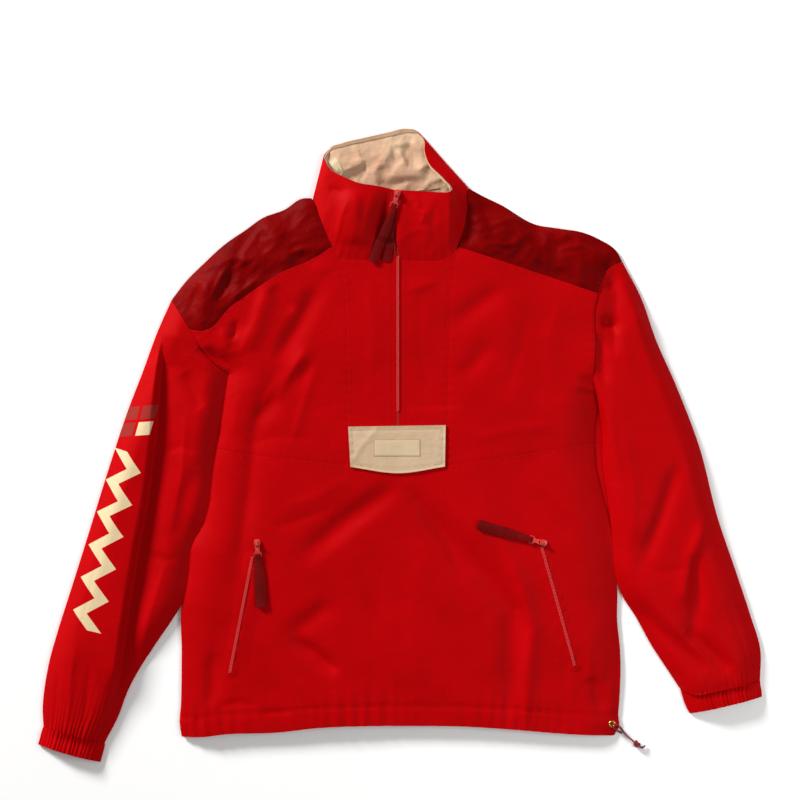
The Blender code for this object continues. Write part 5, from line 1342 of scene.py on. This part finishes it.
def path_tree():
    """Small rounded beads along a path: used for stitches and for zip teeth."""
    tree = bpy.data.node_groups.new("beads_along_path", "GeometryNodeTree")
    for label, kind in (("Path", "NodeSocketGeometry"), ("Pitch", "NodeSocketFloat"),
                        ("Bead Size", "NodeSocketVector"), ("Bead Material", "NodeSocketMaterial")):
        tree.interface.new_socket(label, in_out="INPUT", socket_type=kind)
    tree.interface.new_socket("Beads", in_out="OUTPUT", socket_type="NodeSocketGeometry")
    into = add(tree, "NodeGroupInput")
    line = add(tree, "GeometryNodeMeshToCurve", links={0: into.outputs["Path"]})
    spaced = add(tree, "GeometryNodeResampleCurve", links={"Curve": line.outputs[0],
                                                           "Length": into.outputs["Pitch"]}, mode="LENGTH")
    tangent = add(tree, "GeometryNodeInputTangent")
    turn = add(tree, "FunctionNodeAlignRotationToVector", links={"Vector": tangent.outputs[0]}, axis="Y")
    bead = add(tree, "GeometryNodeMeshIcoSphere", {"Radius": 0.5, "Subdivisions": 1})
    placed = add(tree, "GeometryNodeInstanceOnPoints",
                 links={"Points": spaced.outputs[0], "Instance": bead.outputs[0],
                        "Rotation": turn.outputs[0], "Scale": into.outputs["Bead Size"]})
    real = add(tree, "GeometryNodeRealizeInstances", links={0: placed.outputs[0]})
    smooth = add(tree, "GeometryNodeSetShadeSmooth", links={0: real.outputs[0]})
    finish = add(tree, "GeometryNodeSetMaterial", links={"Geometry": smooth.outputs[0],
                                                        "Material": into.outputs["Bead Material"]})
    add(tree, "NodeGroupOutput", links={0: finish.outputs[0]})
    return tree


BEADS = path_tree()


def beads(name, paths, pitch, size, made_of):
    """One plain mesh of beads along all the paths; each path is rows of (x, y, z) in millimetres."""
    points, edges = [], []
    for path in paths:
        base = len(points)
        points += [tuple(float(c) * MM for c in row) for row in path]
        edges += [(base + k, base + k + 1) for k in range(len(path) - 1)]
    mesh = bpy.data.meshes.new(name + "_path")
    mesh.from_pydata(points, edges, [])
    guide = linked(name + "_path", mesh)
    step = guide.modifiers.new("beads", "NODES")
    step.node_group = BEADS
    wanted = {"Pitch": pitch * MM, "Bead Size": tuple(s * MM for s in size), "Bead Material": made_of}
    for item in BEADS.interface.items_tree:
        if item.item_type == "SOCKET" and item.in_out == "INPUT" and item.name in wanted:
            step[item.identifier] = wanted[item.name]
    result = evaluated_mesh(guide)
    result.name = name
    bpy.data.objects.remove(guide, do_unlink=True)
    return fitted(linked(name, result), None)


def beside(run, amount, samples=None, start_share=0.0, end_share=1.0):
    """A run moved sideways in plan: to its right for a positive amount."""
    samples = samples or max(4, int(run_length(run) / 6))
    line = curve(run, np.linspace(start_share, end_share, samples))
    along = np.gradient(line, axis=0)
    along /= np.linalg.norm(along, axis=1, keepdims=True)
    return line + np.stack([along[:, 1], -along[:, 0]], axis=-1) * amount


def on_front(plan):
    return with_height(plan, front_height(plan) + STITCH_LIFT)


STITCH = (0.55, 2.5, 0.45)
STITCH_PITCH = 3.3
STITCH_LIFT = 0.15
# Rows of stitches: (run, distance to its right, start and end share).
RED_ROWS = [
    (YOKE_SEAM_LEFT, 2.2, 0, 1), (YOKE_SEAM_RIGHT, 2.2, 0, 1),
    (PLACKET_LEFT, 3.0, 0, 0.97), (PLACKET_RIGHT, -6.5, 0, 0.96),
    (CHEST_SEAM_LEFT, 2.4, 0, 1), (CHEST_SEAM_RIGHT, 2.4, 0, 1),
    (ZIP_LEFT, -7.0, 0.2, 1), (ZIP_RIGHT, 7.0, 0.2, 1),
    (ARM_LEFT, 3.0, 0, 1), (ARM_RIGHT, -3.0, 0, 1),
    (HEM, -CASING, 0.01, 0.99), (HEM, -4.0, 0.01, 0.985),
]
MAROON_ROWS = [
    (ARM_LEFT_YOKE, 2.5, 0, 1), (ARM_RIGHT_YOKE, -2.5, 0, 1),
    (YOKE_NECK_LEFT, -2.5, 0, 1), (YOKE_NECK_RIGHT, 2.5, 0, 1),
]
for name, stitch_rows, thread, slot in (("stitches_red", RED_ROWS, THREAD, "red_nylon"),
                                        ("stitches_maroon", MAROON_ROWS, THREAD_DARK, "maroon_nylon")):
    paths = [on_front(beside(run, amount, start_share=first, end_share=last))
             for run, amount, first, last in stitch_rows]
    beads(name, paths, STITCH_PITCH, STITCH, thread)


# Half width and half height of the middle part, in which the loop stays level with its side.
PATCH_MIDDLE = (50, 15)


def patch_path(inset_by):
    """Loop a given way inside the patch's edge."""
    rim = np.concatenate([patch_plan[0], patch_plan[1:, -1], patch_plan[-1, -2::-1], patch_plan[-2::-1, 0]])
    to_centre = patch_plan.mean((0, 1)) - rim
    plan = rim + np.sign(to_centre) * inset_by * (np.abs(to_centre) > PATCH_MIDDLE)
    return with_height(plan, patch_height(plan) + PATCH_TOP + patch_crumple(plan))


beads("stitches_tan", [patch_path(4.2)], 2.6, (0.5, 2.0, 0.5), THREAD_TAN)
label_rim = np.concatenate([label_plan[0], label_plan[1:, -1], label_plan[-1, -2::-1], label_plan[-2::-1, 0]])
label_rim = label_rim + np.sign(label_rim - label_plan.mean((0, 1))) * 0.15
label_rim = with_height(label_rim, patch_height(label_rim) + 1.55 + patch_crumple(label_rim))
beads("stitches_label", [label_rim], 1.1, (0.6, 1.2, 0.5), THREAD_LABEL)

# Neck zip: two rows of teeth between the plackets and the collar fronts.
NECK_TAPE_LIFT = 0.05
NECK_TAPE_WALL = 0.9
NECK_TEETH_LIFT = 1.4
zip_plan = (even(ZIP_LEFT, 120) + even(ZIP_RIGHT, 120)) / 2
zip_grid = np.stack([zip_plan + np.array([side * 2.0, 0.0]) for side in (-1, -0.3, 0.3, 1)], axis=1)
neck_tape = slab("neck_zip_tape", with_height(zip_grid, fine_height(zip_grid) + NECK_TAPE_LIFT),
                 NECK_TAPE_WALL, ZIP_TAPE, "neck_zip")
ZIP_PITCH = 1.9
# The neck zip's teeth show above this point up the body.
ZIP_STOP = 43.0


TOOTH = (2.3, 1.35, 1.2)
TOOTH_ASIDE = 0.95


def teeth(name, line, height):
    """Two staggered rows of teeth along a plan line, at the given heights."""
    rows = [with_height(beside(line, side * TOOTH_ASIDE, samples=len(line)), height) for side in (-1, 1)]
    rows[1] = rows[1] + unit(rows[1][1] - rows[1][0]) * ZIP_PITCH / 2
    beads(name, rows, ZIP_PITCH, TOOTH, COIL)


shown = zip_plan[zip_plan[:, 1] > ZIP_STOP]
teeth("neck_zip_teeth", shown, fine_height(shown) + NECK_TEETH_LIFT)

# ---------------------------------------------------------------- what the loose parts lie on

RESTS = tree_of(("cloth_front_lower", "cloth_chest_left", "cloth_chest_right", "cloth_placket_left",
                 "cloth_placket_right", "neck_zip_tape", "cloth_yoke_left", "cloth_yoke_right",
                 "cloth_collar_outer", "back_cloth"))
AROUND = 2.5


def under(x, y):
    """The greatest height of what lies at a plan point or a little way round it."""
    return max(height_below(tree, x + dx, y + dy) for tree in RESTS
               for dx, dy in ((0, 0), (AROUND, 0), (-AROUND, 0), (0, AROUND), (0, -AROUND)))


# ---------------------------------------------------------------- pocket zips

POCKET_TAPE_HALF = 2.6
POCKET_TAPE_LIFT = 0.5
POCKET_TAPE_WALL = 0.8
POCKET_TEETH_LIFT = 1.35

for side, head, foot in POCKET_ZIPS:
    line = even([foot, head], 70)
    aside_by = np.array([-1.0, -0.45, 0.0, 0.45, 1.0]) * POCKET_TAPE_HALF
    direction = (np.array(head) - np.array(foot)) / run_length([foot, head])
    aside = np.array([direction[1], -direction[0]])
    tape_plan = line[:, None, :] + aside_by[None, :, None] * aside
    tape_top = with_height(tape_plan, front_height(tape_plan) + POCKET_TAPE_LIFT)
    tape = slab("pocket_zip_tape_" + side, tape_top, POCKET_TAPE_WALL, ZIP_TAPE, "pocket_zip_" + side)
    teeth("pocket_zip_teeth_" + side, line, front_height(line) + POCKET_TEETH_LIFT)


# ---------------------------------------------------------------- sliders, tabs and tails

JOINTS = {item["name"]: item for item in frame["record"]["behaviour"]["joints"]}


EDGE_ROUNDING = 0.3


def bevelled(made):
    step = made.modifiers.new("edges", "BEVEL")
    step.width = EDGE_ROUNDING * MM
    step.segments = 2
    step.limit_method = "ANGLE"
    result = evaluated_mesh(made)
    made.modifiers.clear()
    made.data = result
    result.shade_smooth()
    result.set_sharp_from_angle(angle=SHARP_METAL)
    return made


def extruded(name, outlines, low, high, made_of, place):
    """Flat plate with holes: the first outline is its edge and the others its holes."""
    scene_curve = bpy.data.curves.new(name, "CURVE")
    scene_curve.dimensions = "2D"
    scene_curve.fill_mode = "BOTH"
    scene_curve.extrude = (high - low) / 2 * MM
    for outline in outlines:
        spline = scene_curve.splines.new("POLY")
        spline.points.add(len(outline) - 1)
        for point, (x, y) in zip(spline.points, outline):
            point.co = (x * MM, y * MM, 0, 1)
        spline.use_cyclic_u = True
    guide = linked(name + "_outline", scene_curve)
    mesh = evaluated_mesh(guide)
    bpy.data.objects.remove(guide, do_unlink=True)
    work = bmesh.new()
    work.from_mesh(mesh)
    bmesh.ops.remove_doubles(work, verts=work.verts, dist=1e-6)
    bmesh.ops.dissolve_limit(work, angle_limit=0.01, verts=work.verts, edges=work.edges)
    middle_z = (low + high) / 2
    for vert in work.verts:
        x, y, z = (c / MM for c in vert.co)
        vert.co = Vector(place(x, y, z + middle_z)) * MM
    bmesh.ops.recalc_face_normals(work, faces=work.faces)
    work.to_mesh(mesh)
    work.free()
    mesh.name = name
    mesh.materials.clear()
    mesh.materials.append(made_of)
    return linked(name, mesh)


def rounded(points, radius, steps=4):
    """The outline with its corners rounded."""
    made = []
    count = len(points)
    for k in range(count):
        before, here, after = (np.array(points[(k + d) % count], float) for d in (-1, 0, 1))
        to_before, to_after = before - here, after - here
        near = min(radius, 0.45 * np.linalg.norm(to_before), 0.45 * np.linalg.norm(to_after))
        start_at = here + to_before / np.linalg.norm(to_before) * near
        end_at = here + to_after / np.linalg.norm(to_after) * near
        for t in np.linspace(0, 1, steps + 1):
            made.append(tuple((1 - t) ** 2 * start_at + 2 * t * (1 - t) * here + t ** 2 * end_at))
    return made


def slider(name, spot, direction, aside, seat):
    """Zip slider: body, foot and core between them, and the bridge that the tab hangs in."""
    def flat(x, y, z):
        place = spot + direction * (x - PIVOT_FORWARD) + aside * y
        return (place[0], place[1], seat + z)

    def upright(x, y, z):
        return flat(x, z, y)

    outline = rounded([(-5.6, 2.0), (-4.2, 4.0), (1.0, 4.0), (3.4, 2.6), (3.4, -2.6), (1.0, -4.0),
                       (-4.2, -4.0), (-5.6, -2.0)], 1.6)
    plates = [extruded("body_" + name, [outline], 1.5, BODY_HEIGHT, ENAMEL, flat),
              extruded("foot_" + name, [outline], 0.0, 0.9, ENAMEL, flat)]
    core = rounded([(-3.4, 1.6), (2.2, 1.2), (2.2, -1.2), (-3.4, -1.6)], 0.6)
    plates.append(extruded("core_" + name, [core], 0.7, 1.7, ENAMEL, flat))
    half = BRIDGE_LENGTH / 2
    arch = [(-half, 2.4), (-half, BRIDGE_TOP - 1.2), (-half + 1.0, BRIDGE_TOP), (half - 1.2, BRIDGE_TOP),
            (half - 0.2, BRIDGE_TOP - 1.2), (half - 0.2, 5.0), (half - 0.8, 2.4), (half - 2.0, 2.4),
            (half - 1.3, 5.0), (half - 1.4, BRIDGE_TOP - BRIDGE_BAR),
            (-half + BRIDGE_BAR, BRIDGE_TOP - BRIDGE_BAR), (-half + BRIDGE_BAR, 2.4)]
    plates.append(extruded("bridge_" + name, [arch], -BRIDGE_WIDTH / 2, BRIDGE_WIDTH / 2, ENAMEL, upright))
    for number, plate in enumerate(plates):
        fitted(bevelled(plate), None if number else "slider_" + name)


# Share of its width that the webbing narrows to in the tab's slot.
NECKED = 0.62


def tab_and_tail(name, spot, direction, aside, pivot_z, slope, tail_length, tail_width):
    body = name + "_pull"

    def sloped(x, y, z):
        forward = x * math.cos(slope) - z * math.sin(slope)
        height = pivot_z - x * math.sin(slope) + z * math.cos(slope)
        place = spot + direction * forward + aside * y
        return (place[0], place[1], height)

    edge = rounded(PLATE_SHAPE + [(x, -y) for x, y in reversed(PLATE_SHAPE)], 1.2)
    holes = [rounded([(x0, half), (x1, half), (x1, -half), (x0, -half)], 0.6)
             for x0, x1, half in (WINDOW, SLOT)]
    plate = extruded("pull_plate_" + name, [edge] + holes, -PLATE / 2, PLATE / 2, ENAMEL, sloped)
    fitted(bevelled(plate), "pull_" + name, body)
    # Webbing: in from the free end of the upper strand, round the end bar, out along the lower one.
    bar_x = BAR_AT + 0.2
    turn = 0.5 * PLATE + GAP + TAIL_WALL / 2
    wrap = [(bar_x + 1.6, turn), (bar_x - 0.4, turn + 0.1), (14.1, turn - 0.2), (13.75, 0.55),
            (13.75, -0.55), (14.1, -turn + 0.2), (bar_x - 0.4, -turn - 0.1), (bar_x + 1.6, -turn)]
    wrap = even([(x, z, 0.0) for x, z in wrap], 16)[:, :2]
    splay = 0.10 if name == "neck" else 0.0
    shares = np.linspace(1, 0, 46)
    starts = bar_x + 4.0
    across = np.linspace(-0.5, 0.5, 7)
    runs = {}
    for side in (-1, 1):
        reach = tail_length - starts - (5.0 if side == -1 and name == "neck" else 0.0)
        angle = side * splay * np.minimum(1.0, 1.6 * shares)
        sway = side * 0.8 * np.sin(shares * 2.6 + side) * shares
        forward = starts + reach * shares
        centre = (spot + direction * (forward * np.cos(angle))[:, None]
                  + aside * (-forward * np.sin(angle) + sway)[:, None])
        grown = NECKED + (1 - NECKED) * np.minimum(1.0, 3.0 * shares)
        tip = np.sqrt(np.clip(1 - ((shares - 0.965) / 0.035).clip(0, 1) ** 2 * 0.75, 0, 1))
        half_width = tail_width * grown * tip
        heading = aside[None] * np.cos(angle)[:, None] + direction[None] * np.sin(angle)[:, None]
        plan = centre[:, None] + heading[:, None] * (across[None, :, None] * half_width[:, None, None])
        runs[side] = plan
    # Each strand follows what lies below it, and eases down from the bar.
    lower = np.array([max(under(x, y) for x, y in row[::2]) for row in runs[-1]])
    lower = smoothed(np.maximum(lower, smoothed(lower, 8)), 3) + GAP + TAIL_WALL / 2
    ease = np.exp(-(shares * (tail_length - starts) / 9.0) ** 2)
    wrap_low = pivot_z - (bar_x + 4.0) * math.sin(slope) - turn
    lower = np.maximum(lower, lower * (1 - ease) + wrap_low * ease)
    upper_rest = np.array([max(under(x, y) for x, y in row[::2]) for row in runs[1]])
    upper = np.maximum(smoothed(upper_rest, 6) + GAP + TAIL_WALL / 2, lower + TAIL_WALL + 0.5)
    wrap_high = wrap_low + 2 * turn
    upper = np.maximum(upper, upper * (1 - ease) + wrap_high * ease)
    curl = 1.2 * np.clip((shares - 0.7) / 0.3, 0, 1) ** 2
    upper = upper + curl
    cup = 0.25 * np.cos(across * math.pi * 2)
    round_bar = np.array([[sloped(x, side * NECKED * tail_width, z) for side in across] for x, z in wrap])
    grid = np.concatenate([with_height(runs[1], upper[:, None] + cup), round_bar,
                           with_height(runs[-1], lower[:, None] + 0 * across)[::-1]])
    skin = normals(grid)
    # The strand's own thickness, rounded off at its edges.
    wall = TAIL_WALL / 2 * np.array([0.55, 1.0, 1.0, 1.0, 1.0, 1.0, 0.55])[None, :, None]
    tail = sheet_piece("tail_webbing_" + name, grid + skin * wall, grid - skin * wall, WEBBING)
    fitted(tail, "tail_" + name, body)


for name, pivot, towards, tail_length, tail_width in PULLS:
    joint = JOINTS[name + "_pull_hinge"]
    spot = np.array(pivot, float)
    direction = np.array(towards, float) - spot
    direction /= np.linalg.norm(direction)
    aside = np.array([-direction[1], direction[0]])
    pivot_z = joint["pos_m"][2] / MM
    slider(name, spot, direction, aside, pivot_z - PIVOT_HEIGHT)
    tab_and_tail(name, spot, direction, aside, pivot_z, TAB_SLOPES[name], tail_length, tail_width)


# ---------------------------------------------------------------- eyelet, knot and drawcord

def swept(name, rows, radius, made_of, closed=False):
    """Round mesh tube along rows of points, or a ring when it is closed."""
    line = bpy.data.curves.new(name, "CURVE")
    line.dimensions = "3D"
    line.bevel_depth = radius * MM
    line.bevel_resolution = 3
    line.use_fill_caps = not closed
    spline = line.splines.new("POLY")
    spline.points.add(len(rows) - 1)
    for point, row in zip(spline.points, rows):
        point.co = (*(float(c) * MM for c in row), 1.0)
    spline.use_cyclic_u = closed
    line.materials.append(made_of)
    return linked(name, line)


def made_mesh(made):
    """The object as a plain mesh."""
    mesh = evaluated_mesh(made)
    name = mesh.name = made.name
    mesh.shade_smooth()
    bpy.data.objects.remove(made, do_unlink=True)
    return linked(name, mesh)


EYELET_SIDES = 48
EYELET_PROFILE = [(2.6, -0.8), (2.5, 0.2), (2.75, 0.75), (3.3, 0.95), (4.0, 0.75), (4.45, 0.2), (4.3, 0.0),
                  (3.2, -0.1)]
eye = np.array(EYELET_AT, float)
eye_low, eye_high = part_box("hem_eyelet")
eye_z = (eye_low.z + eye_high.z) / 2 / MM
turns = np.linspace(0, 2 * math.pi, EYELET_SIDES + 1)[:-1]
ring = np.array([[(eye[0] + r * math.cos(a), eye[1] + r * math.sin(a), eye_z + z) for r, z in EYELET_PROFILE]
                 for a in turns])
n = len(EYELET_PROFILE)
k, j = np.meshgrid(np.arange(EYELET_SIDES), np.arange(n), indexing="ij")
after = (k + 1) % EYELET_SIDES
quads = np.stack([k * n + j, after * n + j, after * n + (j + 1) % n, k * n + (j + 1) % n],
                 axis=-1).reshape(-1, 4)
eyelet = mesh_piece("eyelet_brass", ring.reshape(-1, 3), quads[:, ::-1], BRASS)
outward = bmesh.new()
outward.from_mesh(eyelet.data)
bmesh.ops.recalc_face_normals(outward, faces=outward.faces)
outward.to_mesh(eyelet.data)
outward.free()
fitted(eyelet, "hem_eyelet")

knot = np.array(KNOT_AT, float)
run = knot - eye
gap_to_knot = np.linalg.norm(run)
run /= gap_to_knot
cross = np.array([-run[1], run[0]])
over = eye_z + EYELET_WIRE + CORD_RADIUS + 0.5
# One overhand knot, drawn as a trefoil.
KNOT_SAMPLES = 96
KNOT_SIZE = 1.15
KNOT_CORD_RADIUS = 1.3
FLOOR = CORD_RADIUS + 0.15
THROUGH = KNOT_RADIUS + 0.3
end = np.array(CORD_END, float)
loops = []
for t in np.linspace(0, 2 * math.pi, KNOT_SAMPLES + 1)[:-1]:
    length = KNOT_SIZE * (math.sin(t) + 2 * math.sin(2 * t))
    width = KNOT_SIZE * (math.cos(t) - 2 * math.cos(2 * t))
    height = -1.5 * math.sin(3 * t)
    place = knot + run * (0.9 * length + 0.5 * height) + cross * width
    loops.append((place[0], place[1], THROUGH - 1.6 + 0.9 * height + 0.35 * length))
tied = made_mesh(swept("cord_knot_tied", loops, KNOT_CORD_RADIUS, CORD, closed=True))
fitted(tied, "cord_knot")


def along(distance, offset, height):
    place = eye + run * distance + cross * offset
    return (place[0], place[1], height)


ROUTE = [
    along(0.0, 1.2, eye_z + 0.6), along(1.2, 1.4, over - 0.6), along(3.6, 2.4, over),
    along(7.0, 3.4, over - 0.8), along(12.0, 3.2, FLOOR + 2.0), along(17.0, 1.8, FLOOR + 0.6),
    along(22.0, 0.6, FLOOR + 1.6),
    along(gap_to_knot - 8.5, 0.0, THROUGH - 1.0),
    along(gap_to_knot - 5.5, 0.0, THROUGH), along(gap_to_knot, 0.0, THROUGH),
    along(gap_to_knot + 5.5, 0.0, THROUGH), along(gap_to_knot + 8.0, 0.0, THROUGH - 1.2),
    (end[0], end[1], FLOOR + 0.6)]
RETURN = [
    along(0.0, -1.2, eye_z + 0.6), along(1.2, -1.4, over - 0.6), along(3.6, -2.2, over),
    along(7.0, -2.8, over - 0.8), along(11.0, -2.6, FLOOR + 2.0), along(15.0, -1.9, FLOOR + 0.6),
    along(19.0, -1.75, FLOOR + 0.3)]
route = even(ROUTE, 38)
main = swept("drawcord", route, CORD_RADIUS, CORD)
fitted(main, "hem_cord")
back_run = even(RETURN, 22)
second = made_mesh(swept("drawcord_return", back_run, CORD_RADIUS, CORD))
fitted(second, "hem_cord_return")

# ---------------------------------------------------------------- floor, light and camera

FLOOR_HALF = 4
FLOOR_DROP = 0.0006
floor_mesh = bpy.data.meshes.new("floor")
floor_mesh.from_pydata([(x * FLOOR_HALF, y * FLOOR_HALF, 0) for x, y in ((-1, -1), (1, -1), (1, 1), (-1, 1))],
                       [], [(0, 1, 2, 3)])
floor = linked("floor", floor_mesh)
floor.location.z = -FLOOR_DROP
pale, pale_tree, pale_shader = start("pale_paper", 0.95)
paper = cloudy(pale_tree, add(pale_tree, "ShaderNodeTexCoord"), 3.0, 2.0)
pale_tree.links.new(mixed(pale_tree, paper, "FBFAF9", "FDFDFC"), pale_shader.inputs["Base Color"])
floor_mesh.materials.append(pale)

world = bpy.data.worlds.new("soft_room")
bpy.context.scene.world = world
world.use_nodes = True
ROOM_STRENGTH = 0.30
background = world.node_tree.nodes["Background"]
background.inputs[0].default_value = (1.0, 1.0, 1.0, 1.0)
background.inputs[1].default_value = ROOM_STRENGTH


def lamp(name, place, target, size, power):
    """Square area light, aimed at the target; size in metres and power in watts."""
    data = bpy.data.lights.new(name, "AREA")
    data.shape = "RECTANGLE"
    data.size = data.size_y = size
    data.energy = power
    made = linked(name, data)
    made.location = place
    made.rotation_euler = (Vector(target) - Vector(place)).to_track_quat("-Z", "Y").to_euler()


lamp("key", (-4.3, 4.1, 2.35), (0.1, 0, 0), 1.3, 640)
lamp("fill", (1.15, -0.2, 1.3), (0.35, -0.1, 0), 0.9, 11)

# Straight above the garment, looking down.
LENS = 90
SENSOR = 36
CAMERA_AT = (0.0, 0.0585, 2.6)
view = bpy.data.cameras.new("camera")
view.lens = LENS
view.sensor_width = SENSOR
camera = linked("camera", view)
camera.location = CAMERA_AT
camera.rotation_euler = (0.0, 0.0, 0.0)
bpy.context.scene.camera = camera
# Plain sRGB, so that the strong red dye keeps its depth.
bpy.context.scene.view_settings.view_transform = "Standard"
